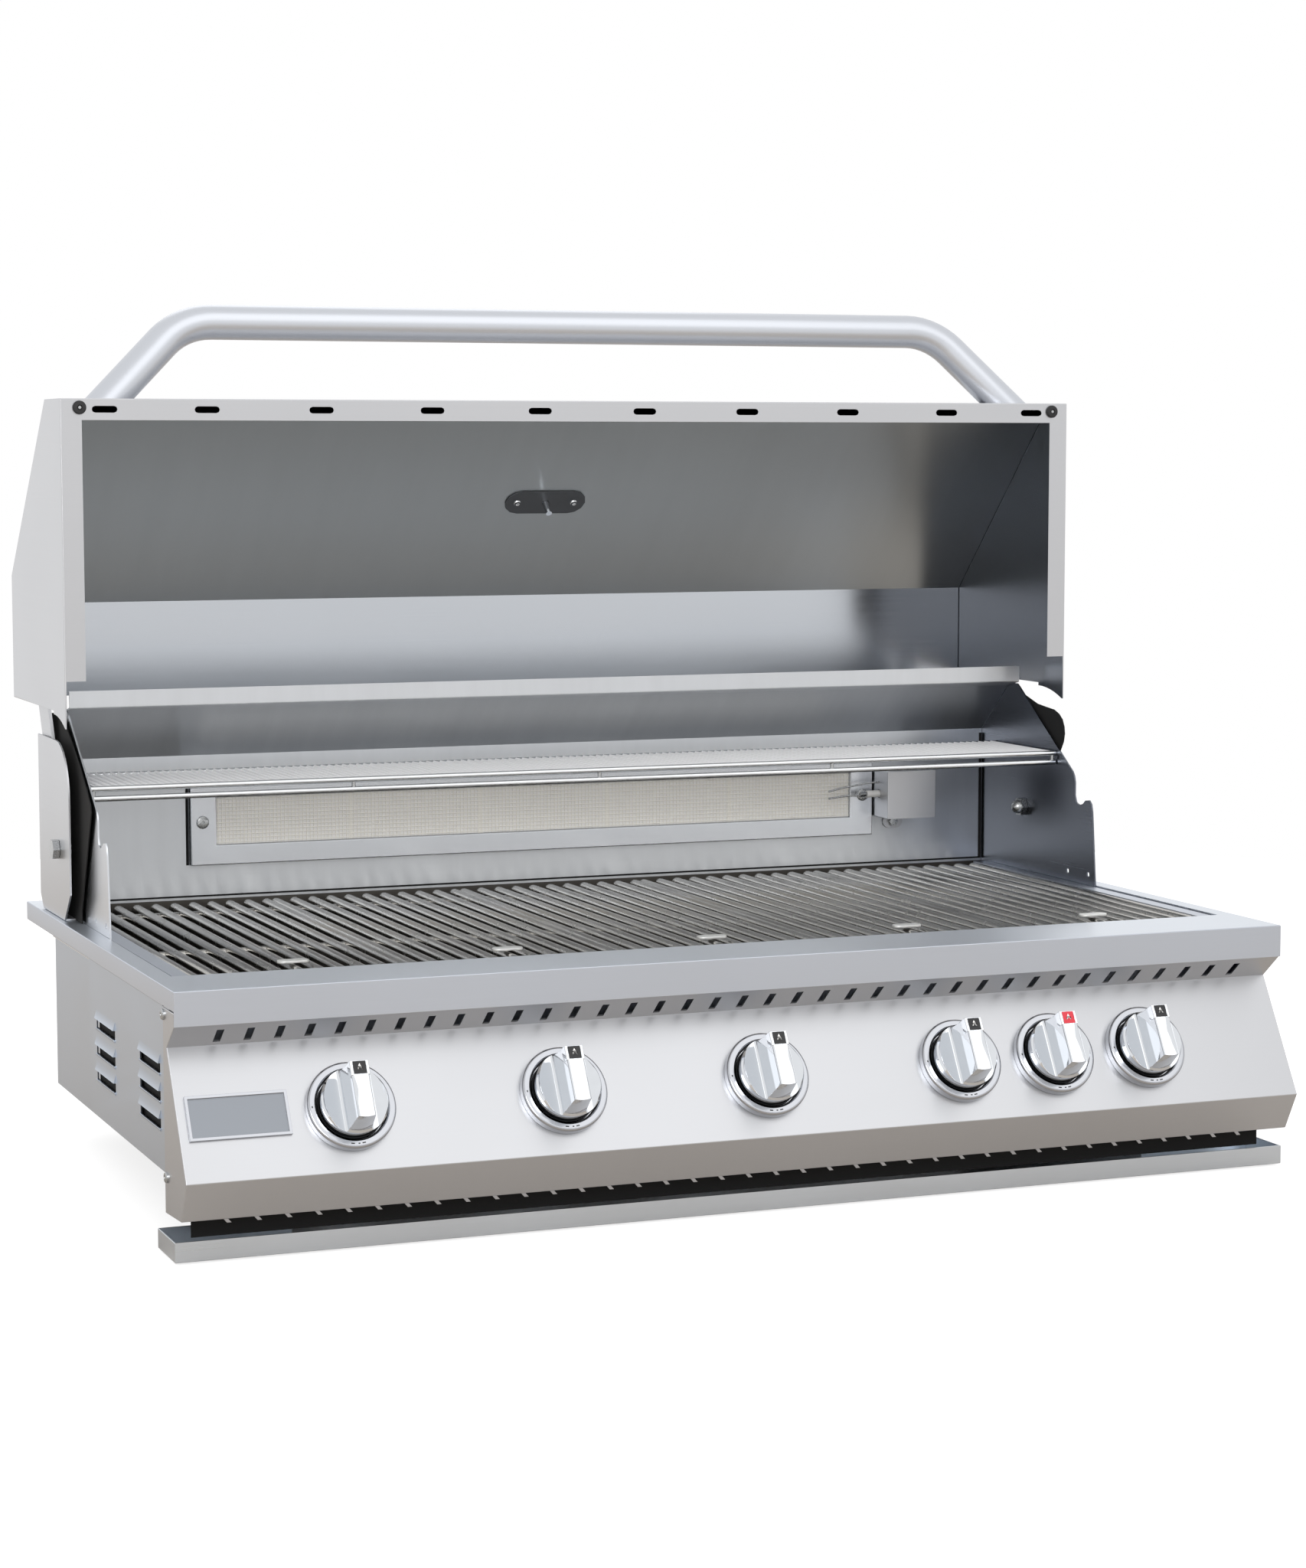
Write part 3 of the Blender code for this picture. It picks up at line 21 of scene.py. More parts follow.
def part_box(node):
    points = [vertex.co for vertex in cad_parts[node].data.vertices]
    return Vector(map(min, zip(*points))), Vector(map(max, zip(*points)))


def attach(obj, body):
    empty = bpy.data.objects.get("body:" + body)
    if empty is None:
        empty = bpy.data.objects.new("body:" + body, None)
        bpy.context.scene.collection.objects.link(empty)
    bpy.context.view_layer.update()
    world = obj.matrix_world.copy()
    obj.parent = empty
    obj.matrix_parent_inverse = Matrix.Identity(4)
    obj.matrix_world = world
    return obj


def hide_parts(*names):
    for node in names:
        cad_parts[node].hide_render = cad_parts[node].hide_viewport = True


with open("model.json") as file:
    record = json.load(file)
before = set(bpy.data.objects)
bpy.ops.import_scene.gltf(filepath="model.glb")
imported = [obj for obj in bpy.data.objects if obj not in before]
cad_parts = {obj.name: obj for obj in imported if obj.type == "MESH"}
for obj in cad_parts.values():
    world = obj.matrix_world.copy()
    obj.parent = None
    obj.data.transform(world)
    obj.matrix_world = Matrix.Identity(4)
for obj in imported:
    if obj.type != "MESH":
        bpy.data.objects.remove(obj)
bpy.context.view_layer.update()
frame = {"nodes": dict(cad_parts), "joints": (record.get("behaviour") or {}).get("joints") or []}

MM = 0.001
LOG = logging.getLogger("grill")
# Width of an eased edge, and the distance under which points are one
EASE = 0.4 * MM
WELD = 0.002 * MM

Mesh = bpy.types.Mesh
Tree = bpy.types.NodeTree
Socket = bpy.types.NodeSocket
Shape = tuple[list[Vector], list[tuple[int, ...]]]
Outline = list[tuple[float, float]]
Place = Vector | tuple[float, float, float]

TRIM_LOW, TRIM_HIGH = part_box("trim_frame")
CASE = Vector(((TRIM_LOW.x + TRIM_HIGH.x) / 2, TRIM_LOW.y, TRIM_HIGH.z))


def case(x: float, y: float, z: float) -> Vector:
    """Turn millimetres in the case frame into a place in the scene."""
    return CASE + Vector((x, y, z)) * MM


# Colour and nodes


def linear(hex_colour: str) -> tuple[float, float, float, float]:
    """Turn an sRGB hex colour into linear red, green, blue and alpha.

    Args:
        hex_colour: six hex digits after a hash sign.

    Returns:
        Linear red, green, blue and alpha.
    """
    channels = [int(hex_colour[start:start + 2], 16) / 255 for start in (1, 3, 5)]
    lit = [value / 12.92 if value <= 0.04045 else ((value + 0.055) / 1.055) ** 2.4 for value in channels]
    return (*lit, 1.0)


def add(tree: Tree, kind: str, settings: Mapping[str, object] | None = None,
        inputs: Mapping[str | int, object] | None = None) -> bpy.types.Node:
    """Add a node, set its properties, and fill or link its inputs.

    Args:
        tree: the node tree that the node joins.
        kind: the node's type name.
        settings: properties of the node by name.
        inputs: values, or sockets to link from, by the input's name or number.

    Returns:
        The new node.
    """
    node = tree.nodes.new(kind)
    for name, value in (settings or {}).items():
        setattr(node, name, value)
    for key, value in (inputs or {}).items():
        if isinstance(value, Socket):
            tree.links.new(value, node.inputs[key])
        else:
            node.inputs[key].default_value = value
    return node


# Finishes


@dataclass(frozen=True)
class Finish:
    """Colour and gloss of one finish, with a soft mottle of a real size."""

    name: str
    colour: str
    roughness: float
    metallic: float = 0.0
    mottle: float = 4 * MM
    tone_spread: float = 0.06
    gloss_spread: float = 0.05
    bump: float = 0.0
    grain_roughness: float = 0.55
    contrast: tuple[float, float] = (0.3, 0.7)
    least_roughness: float = 0.02
    bump_strength: float = 0.6

    def material(self) -> bpy.types.Material:
        """Give the finish's material, made once.

        Returns:
            The material.
        """
        made = bpy.data.materials.get(self.name)
        if made is not None:
            return made
        made = bpy.data.materials.new(self.name)
        made.use_nodes = True
        tree = made.node_tree
        shader = tree.nodes["Principled BSDF"]
        shader.inputs["Metallic"].default_value = self.metallic
        self.wire(tree, shader, self.pattern(tree))
        return made

    def noise(self, tree: Tree, sizes: Vector, detail: float = 3.0) -> Socket:
        """Noise whose grains have the given sizes along x, y and z.

        Args:
            tree: the material's node tree.
            sizes: the grains' sizes.
            detail: how many finer layers the noise has.

        Returns:
            The noise's value from 0 to 1.
        """
        place = add(tree, "ShaderNodeTexCoord").outputs["Object"]
        scale = (1 / sizes.x, 1 / sizes.y, 1 / sizes.z)
        spot = add(tree, "ShaderNodeMapping", None, {"Vector": place, "Scale": scale})
        grains = add(tree, "ShaderNodeTexNoise", None,
                     {"Vector": spot.outputs[0], "Scale": 1.0, "Detail": detail,
                      "Roughness": self.grain_roughness})
        return grains.outputs[0]

    def pattern(self, tree: Tree) -> Socket:
        """The finish's own pattern from 0 to 1."""
        return self.noise(tree, Vector((self.mottle,) * 3))

    def wire(self, tree: Tree, shader: bpy.types.Node, pattern: Socket) -> None:
        """Lead the pattern into colour, roughness and bump.

        Args:
            tree: the material's node tree.
            shader: the material's surface shader.
            pattern: the finish's pattern from 0 to 1.
        """
        base = linear(self.colour)
        dark = tuple(value * (1 - self.tone_spread) for value in base[:3]) + (1.0,)
        light = tuple(min(value * (1 + self.tone_spread), 1.0) for value in base[:3]) + (1.0,)
        tone = add(tree, "ShaderNodeMix", {"data_type": "RGBA"}, {0: pattern, 6: dark, 7: light})
        tree.links.new(tone.outputs[2], shader.inputs["Base Color"])
        low = max(self.roughness - self.gloss_spread, self.least_roughness)
        gloss = add(tree, "ShaderNodeMapRange", None,
                    {"Value": pattern, "From Min": self.contrast[0], "From Max": self.contrast[1],
                     "To Min": low, "To Max": self.roughness + self.gloss_spread})
        tree.links.new(gloss.outputs[0], shader.inputs["Roughness"])
        if self.bump:
            relief = add(tree, "ShaderNodeBump", None,
                         {"Height": pattern, "Strength": self.bump_strength, "Distance": self.bump})
            tree.links.new(relief.outputs[0], shader.inputs["Normal"])


@dataclass(frozen=True)
class BrushedSteel(Finish):
    """Stainless sheet brushed along x, or along y where it faces sideways.

    Real brush lines are about 0.2 mm apart. They are drawn wider so that they show.
    """

    metallic: float = 1.0
    anisotropy: float = 0.55
    tone_spread: float = 0.035
    gloss_spread: float = 0.03
    streak_width: float = 0.8 * MM
    streak_length: float = 160 * MM
    cloud: float = 160 * MM
    cloud_share: float = 0.5
    side_slope: float = 0.7
    highlight_turn: float = 0.25
    tangent: tuple[float, float, float] = (1.0, 0.04, 0.0)

    def pattern(self, tree: Tree) -> Socket:
        """Brush lines over the slow tone changes of a big sheet.

        Args:
            tree: the material's node tree.

        Returns:
            The pattern's value from 0 to 1.
        """
        width, length = self.streak_width, self.streak_length
        across = self.noise(tree, Vector((length, width, width)))
        deep = self.noise(tree, Vector((width, length, width)))
        normal = add(tree, "ShaderNodeNewGeometry").outputs["Normal"]
        side = add(tree, "ShaderNodeSeparateXYZ", None, {0: normal}).outputs["X"]
        side = add(tree, "ShaderNodeMath", {"operation": "ABSOLUTE"}, {0: side}).outputs[0]
        side = add(tree, "ShaderNodeMath", {"operation": "GREATER_THAN"},
                   {0: side, 1: self.side_slope}).outputs[0]
        lines = add(tree, "ShaderNodeMix", {"data_type": "FLOAT"}, {0: side, 2: across, 3: deep})
        cloud = self.noise(tree, Vector((self.cloud,) * 3), 1.0)
        both = add(tree, "ShaderNodeMix", {"data_type": "FLOAT"},
                   {0: self.cloud_share, 2: lines.outputs[0], 3: cloud})
        return both.outputs[0]

    def wire(self, tree: Tree, shader: bpy.types.Node, pattern: Socket) -> None:
        """Add the highlight that is drawn out across the brush lines.

        Args:
            tree: the material's node tree.
            shader: the material's surface shader.
            pattern: the finish's pattern from 0 to 1.
        """
        super().wire(tree, shader, pattern)
        shader.inputs["Anisotropic"].default_value = self.anisotropy
        shader.inputs["Anisotropic Rotation"].default_value = self.highlight_turn
        tangent = add(tree, "ShaderNodeCombineXYZ", None, dict(enumerate(self.tangent)))
        tree.links.new(tangent.outputs[0], shader.inputs["Tangent"])


# Stainless 304 sheet, brushed: a soft sheen that is drawn out across the brush lines
CASE_STEEL = BrushedSteel("brushed_stainless_case", "#c6c7ca", roughness=0.35, anisotropy=0.6)
# The side panels, of a bluer sheet that the light from the side cools
SIDE_STEEL = BrushedSteel("brushed_stainless_side", "#c5cdd8", roughness=0.35, anisotropy=0.6)
# The same sheet on the trim, where a coarser finish spreads the light further
TRIM_STEEL = BrushedSteel("brushed_stainless_trim", "#c6cbd4", roughness=0.36, anisotropy=0.8)
# The trim's flat top, paler as painted light on the faces that look up, and a little less rough
LIT_LEDGE_STEEL = BrushedSteel("wiped_stainless_ledge", "#dce1e8", roughness=0.33, anisotropy=0.8)
# The same sheet inside the grill, where the brushing is finer and the reflections clearer
INNER_STEEL = BrushedSteel("fine_brushed_stainless", "#d9dce1", roughness=0.27, anisotropy=0.75,
                           tone_spread=0.015, gloss_spread=0.0)
# The rear hood's sheet, with soft upright streaks painted into its colour: painted reflections
HOOD_STEEL = BrushedSteel("streaked_stainless_hood", "#d6d9dd", roughness=0.34, anisotropy=0.85,
                          tone_spread=0.08, gloss_spread=0.02, streak_width=320 * MM,
                          streak_length=15 * MM, cloud_share=0.25)
# The liner's upper sheet, on the faces that look down: painted reflection streaks on a darker ground of
# painted shade
UPPER_LINER = BrushedSteel("streaked_stainless_liner", "#b6babc", roughness=0.30, anisotropy=0.8,
                           tone_spread=0.05, gloss_spread=0.0, streak_width=320 * MM,
                           streak_length=22 * MM, cloud_share=0.3)
# The liner's sheet: fine brushing that mirrors the grill below in soft bands
LINER_STEEL = BrushedSteel("brushed_stainless_liner", "#c5c9cf", roughness=0.21, anisotropy=0.7)
# The tray's sheet, the same brushing on a paler ground: painted light from the floor
TRAY_STEEL = BrushedSteel("brushed_stainless_tray", "#dae1e9", roughness=0.30)
# The liner's end walls, darker: painted shade
SHADE_LINER = BrushedSteel("smoked_stainless_liner", "#676a70", roughness=0.24, anisotropy=0.5)
# Stainless plate left dull by the stamping, so that it shows dark on the liner
DULL_STEEL = Finish("dull_stamped_stainless", "#626467", roughness=0.45, metallic=1.0, mottle=6 * MM,
                    tone_spread=0.06, gloss_spread=0.05)
# Stainless tube, ground and polished to satin: pale, with a wide soft highlight
TUBE_STEEL = Finish("satin_stainless_tube", "#cbced4", roughness=0.34, metallic=1.0, mottle=0.8 * MM,
                    tone_spread=0.03, gloss_spread=0.04)
# Die-cast zinc with bright chrome plating: a mirror with hardly any haze
CHROME = Finish("bright_chrome_plate", "#dee1e5", roughness=0.07, metallic=1.0, mottle=9 * MM,
                tone_spread=0.02, gloss_spread=0.02)
# The bezels' chrome is satin, so that each ring stands out grey against the bright panel
BEZEL_CHROME = Finish("satin_chrome_plate", "#b6b8bd", roughness=0.17, metallic=1.0, mottle=9 * MM,
                      tone_spread=0.02, gloss_spread=0.02)
# Stainless rod as drawn, with a bright skin: clear highlights along it and a faint warm cast
ROD_STEEL = Finish("drawn_stainless_rod", "#a9a7a3", roughness=0.24, metallic=1.0, mottle=14 * MM,
                   tone_spread=0.06, gloss_spread=0.05)
# Firebox sheet that has been through the fire: brown-grey and dull, darkened further as painted shade so that
# it stays dark between the rods
FIREBOX_SHADE_STEEL = Finish("fire_dulled_stainless", "#5c5955", roughness=0.46, metallic=1.0, mottle=45 * MM,
                    tone_spread=0.12, gloss_spread=0.08)
# Electropolished stainless wire: nearly white, with narrow highlights along it
WIRE_STEEL = Finish("electropolished_wire", "#dcdee0", roughness=0.18, metallic=1.0, mottle=4 * MM,
                    tone_spread=0.05, gloss_spread=0.04)
# The rack's thin wires, plated pale and dull: light from every side, so that their row reads as one sheet
RACK_STEEL = Finish("white_nickel_wire", "#fbfbfc", roughness=0.38, metallic=0.0, mottle=4 * MM,
                    tone_spread=0.02, gloss_spread=0.04)
# Pressed tab with a fine etched skin: nearly white beside the darker rods
TAB_STEEL = Finish("etched_stainless_tab", "#eeeeec", roughness=0.48, metallic=1.0, mottle=3 * MM,
                   tone_spread=0.03, gloss_spread=0.04)
# Stainless that the burners have heated: darker, straw and brown in places
FIRED_STEEL = Finish("heat_tinted_stainless", "#46413b", roughness=0.46, metallic=1.0, mottle=30 * MM,
                     tone_spread=0.22, gloss_spread=0.10)
# Inner sheet that faces away from the light: the same brushing with a darker tone, painted shade
SHADED_STEEL = BrushedSteel("smoked_brushed_stainless", "#6b6f78", roughness=0.26, anisotropy=0.5)
# Brass as it comes off the lathe: warm yellow with a slight haze
BRASS = Finish("machined_brass", "#b99b5e", roughness=0.32, metallic=1.0, mottle=2 * MM, tone_spread=0.08,
               gloss_spread=0.06)
# Steel with clear zinc plating: light grey, a little cloudy
ZINC = Finish("zinc_plated_fastener", "#b4b6b7", roughness=0.26, metallic=1.0, mottle=1.5 * MM,
              tone_spread=0.08, gloss_spread=0.06)
# Cordierite tile, pressed and fired: cream, chalky and without gloss
CERAMIC = Finish("fired_cordierite", "#fdfaf7", roughness=0.92, metallic=0.0, mottle=1.2 * MM,
                 tone_spread=0.05, gloss_spread=0.03, bump=0.10 * MM)
# Guard wire that the heat has turned pale and chalky
GUARD_WIRE = Finish("heat_bleached_wire", "#fdf9f2", roughness=0.70, metallic=0.0, mottle=3 * MM,
                    tone_spread=0.04, gloss_spread=0.04)
# Porcelain under a clear glaze: white with small sharp highlights
PORCELAIN = Finish("glazed_porcelain", "#eeedea", roughness=0.18, metallic=0.0, mottle=6 * MM,
                   tone_spread=0.02, gloss_spread=0.02)
# Moulded rubber: charcoal with a fine dull grain
RUBBER = Finish("moulded_black_rubber", "#1b1b1d", roughness=0.62, metallic=0.0, mottle=0.6 * MM,
                tone_spread=0.15, gloss_spread=0.06, bump=0.02 * MM)
# Enamel printed on metal: black with a soft gloss
BLACK_PAINT = Finish("black_enamel", "#17171a", roughness=0.38, metallic=0.0, mottle=0.5 * MM,
                     tone_spread=0.10, gloss_spread=0.04)
# Matte black for painted shade in gaps, mouths and hollows: so matte that it reads as a hole
SHADE_BLACK = Finish("matte_stove_black", "#060607", roughness=0.85, metallic=0.0, mottle=0.5 * MM,
                     tone_spread=0.10, gloss_spread=0.04)
# The same enamel in white, on the flames and the dial
WHITE_PAINT = Finish("white_enamel", "#f0f0ee", roughness=0.32, metallic=0.0, mottle=0.5 * MM,
                     tone_spread=0.03, gloss_spread=0.04)
# The same enamel in red, on the rear burner's knob and the dial's needle
RED_PAINT = Finish("red_enamel", "#d2303f", roughness=0.36, metallic=0.0, mottle=0.5 * MM,
                   tone_spread=0.06, gloss_spread=0.04)
# Anodised aluminium: an even grey field with a fine grain
BADGE_GREY = BrushedSteel("grey_anodised_aluminium", "#8d9197", roughness=0.42, anisotropy=0.2,
                          streak_length=20 * MM)


# Mesh making


def prism(outline: Outline, axis: str, low: float, high: float) -> Shape:
    """Extrude a closed outline along an axis.

    Args:
        outline: points in the two other axes, in their alphabetical order.
        axis: "X", "Y" or "Z".
        low: where the extrusion starts.
        high: where it ends.

    Returns:
        The shape's points and faces.
    """
    order = {"X": lambda a, b, s: (s, a, b), "Y": lambda a, b, s: (a, s, b), "Z": lambda a, b, s: (a, b, s)}
    count = len(outline)
    points = [Vector(order[axis](a, b, station)) for station in (low, high) for a, b in outline]
    faces = [tuple(range(count)), tuple(range(count, 2 * count))]
    for index in range(count):
        after = (index + 1) % count
        faces.append((index, after, after + count, index + count))
    return points, faces


def block(low: Sequence[float], high: Sequence[float]) -> Shape:
    """Box between two corners."""
    outline = [(low[0], low[1]), (high[0], low[1]), (high[0], high[1]), (low[0], high[1])]
    return prism(outline, "Z", low[2], high[2])


def lathe(profile: Outline, sides: int, hexagonal: bool = False) -> Shape:
    """Turn a profile of radius and height pairs about z; it starts and ends on the axis.

    Args:
        profile: pairs from the bottom's centre round to the top's centre.
        sides: how many steps make the full turn.
        hexagonal: gives the rings a hexagon's shape, as on a nut.

    Returns:
        A closed shape.
    """
    points = [Vector((0, 0, profile[0][1]))]
    for radius, height in profile[1:-1]:
        for step in range(sides):
            angle = math.tau * step / sides
            reach = radius
            if hexagonal:
                reach = radius * math.cos(math.pi / 6) / math.cos(angle % (math.pi / 3) - math.pi / 6)
            points.append(Vector((reach * math.cos(angle), reach * math.sin(angle), height)))
    points.append(Vector((0, 0, profile[-1][1])))
    faces = [(0, 1 + (step + 1) % sides, 1 + step) for step in range(sides)]
    for ring in range(len(profile) - 3):
        base = 1 + ring * sides
        for step in range(sides):
            after = (step + 1) % sides
            faces.append((base + step, base + after, base + sides + after, base + sides + step))
    last = len(points) - 1
    base = last - sides
    faces += [(last, base + step, base + (step + 1) % sides) for step in range(sides)]
    return points, faces


def ring(section: Outline, sides: int) -> Shape:
    """Turn a closed section of radius and height pairs about z into a ring.

    Args:
        section: closed section of radius and height pairs.
        sides: how many steps make the full turn.

    Returns:
        The ring's points and faces.
    """
    count = len(section)
    points = []
    faces = []
    for step in range(sides):
        angle = math.tau * step / sides
        points += [Vector((radius * math.cos(angle), radius * math.sin(angle), height))
                   for radius, height in section]
        after = (step + 1) % sides
        for index in range(count):
            following = (index + 1) % count
            faces.append((step * count + index, after * count + index,
                          after * count + following, step * count + following))
    return points, faces


def arc(centre: tuple[float, float], radius: float, start: float, end: float, steps: int) -> Outline:
    """Points of an arc between two angles in degrees.

    Args:
        centre: the arc's centre.
        radius: its radius.
        start: its first angle.
        end: its last angle.
        steps: how many steps it has.

    Returns:
        The points in order.
    """
    pairs = []
    for step in range(steps + 1):
        angle = math.radians(start + (end - start) * step / steps)
        pairs.append((centre[0] + radius * math.cos(angle), centre[1] + radius * math.sin(angle)))
    return pairs


def stadium(length: float, height: float, steps: int) -> Outline:
    """Outline of a bar with round ends, centred on the origin.

    Args:
        length: the bar's whole length.
        height: the bar's width.
        steps: how many steps each round end has.

    Returns:
        The points in order.
    """
    radius = height / 2
    reach = length / 2 - radius
    return arc((reach, 0), radius, -90, 90, steps) + arc((-reach, 0), radius, 90, 270, steps)


def facing(out: Vector) -> Matrix:
    """Turn whose z looks along a direction and whose x stays level, across the grill."""
    across = Vector((1, 0, 0))
    return Matrix((across, out.cross(across), out)).transposed().to_4x4()


def moved(shape: Shape, matrix: Matrix) -> Shape:
    """Turn and shift a shape."""
    return [matrix @ point for point in shape[0]], shape[1]


def mesh_of(shapes: Iterable[Shape], finish: Finish) -> Mesh:
    """Make one mesh of closed shapes, with faces outwards and its finish.

    Args:
        shapes: closed shapes.
        finish: the finish of every face.

    Returns:
        A plain mesh with one material.
    """
    whole = bmesh.new()
    for points, faces in shapes:
        corners = [whole.verts.new(point) for point in points]
        for face in faces:
            whole.faces.new([corners[index] for index in face])
    bmesh.ops.recalc_face_normals(whole, faces=whole.faces)
    mesh = bpy.data.meshes.new("part")
    whole.to_mesh(mesh)
    whole.free()
    mesh.materials.append(finish.material())
    return mesh


def thing(name: str, mesh: Mesh) -> bpy.types.Object:
    """Link a mesh as an object at the origin.

    Args:
        name: the object's name.
        mesh: its mesh.

    Returns:
        The new object.
    """
    mesh.name = name
    item = bpy.data.objects.new(name, mesh)
    bpy.context.scene.collection.objects.link(item)
    return item


def plain(item: bpy.types.Object) -> Mesh:
    """Turn an object with its modifiers into a plain mesh, and remove the object.

    Args:
        item: the object to turn into a mesh.

    Returns:
        The mesh as the modifiers shape it.
    """
    shown = item.evaluated_get(bpy.context.evaluated_depsgraph_get())
    mesh = bpy.data.meshes.new_from_object(shown, preserve_all_data_layers=True,
                                           depsgraph=bpy.context.evaluated_depsgraph_get())
    bpy.data.objects.remove(item, do_unlink=True)
    return mesh


def combined(mesh: Mesh, shapes: Iterable[Shape], operation: str, finish: Finish) -> Mesh:
    """Cut, weld or intersect a mesh with closed shapes, one after another.

    Args:
        mesh: the mesh to start from.
        shapes: closed shapes to cut, weld or intersect it with.
        operation: the Boolean modifier's operation.
        finish: the finish of the faces that the shapes leave.

    Returns:
        A plain mesh.
    """
    item = thing(mesh.name, mesh)
    tools = []
    for shape in shapes:
        tool = thing("tool", mesh_of([shape], finish))
        tools.append(tool)
        modifier = item.modifiers.new("Combine", "BOOLEAN")
        modifier.operation = operation
        modifier.solver = "EXACT"
        modifier.object = tool
    result = plain(item)
    for tool in tools:
        bpy.data.objects.remove(tool, do_unlink=True)
    return result


def shaded(mesh: Mesh, angle: float) -> Mesh:
    """Shade a mesh smooth between the edges that are sharper than an angle in degrees.

    Args:
        mesh: the mesh to shade.
        angle: least angle of a sharp edge.

    Returns:
        The same mesh.
    """
    stale = mesh.attributes.get("custom_normal")
    if stale is not None:
        mesh.attributes.remove(stale)
    surface = bmesh.new()
    surface.from_mesh(mesh)
    for face in surface.faces:
        face.smooth = True
    for edge in surface.edges:
        edge.smooth = len(edge.link_faces) == 2 and edge.calc_face_angle(0.0) < math.radians(angle)
    surface.to_mesh(mesh)
    surface.free()
    return mesh


def smoothed(mesh: Mesh, bevel: float = 0.0, segments: int = 2, angle: float = 35) -> Mesh:
    """Ease sharp edges and shade the rest smooth, with flat faces kept flat.

    Args:
        mesh: the mesh to finish.
        bevel: width of the eased edges, or 0 to leave them.
        segments: steps across an eased edge.
        angle: least angle between faces, in degrees, that counts as an edge.

    Returns:
        A plain mesh.
    """
    item = thing(mesh.name, mesh)
    if bevel:
        modifier = item.modifiers.new("Edges", "BEVEL")
        modifier.width = bevel
        modifier.segments = segments
        modifier.limit_method = "ANGLE"
        modifier.angle_limit = math.radians(angle)
        item_mesh = plain(item)
        item = thing(item_mesh.name, item_mesh)
    shaded(item.data, angle)
    modifier = item.modifiers.new("Normals", "WEIGHTED_NORMAL")
    modifier.keep_sharp = True
    return plain(item)


def joined(meshes: Iterable[Mesh]) -> Mesh:
    """Join plain meshes into one that keeps each one's finish.

    Args:
        meshes: plain meshes.

    Returns:
        One plain mesh.
    """
    materials: list[bpy.types.Material] = []
    whole = bmesh.new()
    for mesh in meshes:
        start = len(whole.faces)
        whole.from_mesh(mesh)
        whole.faces.ensure_lookup_table()
        slots = []
        for material in mesh.materials:
            if material not in materials:
                materials.append(material)
            slots.append(materials.index(material))
        for face in whole.faces[start:]:
            face.material_index = slots[face.material_index]
    result = bpy.data.meshes.new("joined")
    whole.to_mesh(result)
    whole.free()
    for material in materials:
        result.materials.append(material)
    return result


def shifted(mesh: Mesh, place: Matrix) -> Mesh:
    """Copy a mesh onto its place.

    Args:
        mesh: the mesh to copy.
        place: where the copy goes.

    Returns:
        The copy.
    """
    copy = mesh.copy()
    copy.transform(place)
    return copy


def keep(name: str, meshes: Sequence[Mesh], slot: str, body: str = "root", *nodes: str) -> None:
    """Ride a finished piece on its body, in place of the CAD nodes that it stands for.

    Args:
        name: the piece's name.
        meshes: its mesh, or the meshes to join.
        slot: not used.
        body: the body that it rides on.
        nodes: the CAD nodes that it replaces.
    """
    piece = thing(name, joined(meshes) if len(meshes) > 1 else meshes[0])
    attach(piece, body)
    if nodes:
        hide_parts(*nodes)
    LOG.info("%s rides on %s with %d faces", name, body, len(piece.data.polygons))


def copied(node: str, *finishes: Finish) -> Mesh:
    """Copy a CAD node's mesh into the scene's frame, with new finishes.

    Args:
        node: the CAD node's name.
        finishes: its finishes, by material number.

    Returns:
        The copy.
    """
    source = frame["nodes"][node]
    mesh = source.data.copy()
    mesh.transform(source.matrix_world)
    mesh.materials.clear()
    for finish in finishes:
        mesh.materials.append(finish.material())
    return mesh


def dress(node: str, finish: Finish) -> None:
    """Give a CAD node its finish.

    Args:
        node: the CAD node's name.
        finish: the finish of all its faces.
    """
    for slot in frame["nodes"][node].material_slots:
        slot.material = finish.material()
    LOG.info("%s keeps its CAD shape in %s", node, finish.name)


def seam(left: float, right: float, face: float, foot: float, top: float) -> Shape:
    """Thin line that stands 0.2 mm proud of a face and reaches 0.4 mm into it."""
    return block((left, face - 0.4 * MM, foot), (right, face + 0.2 * MM, top))


# Folded sheets, copied from the CAD nodes with round folds


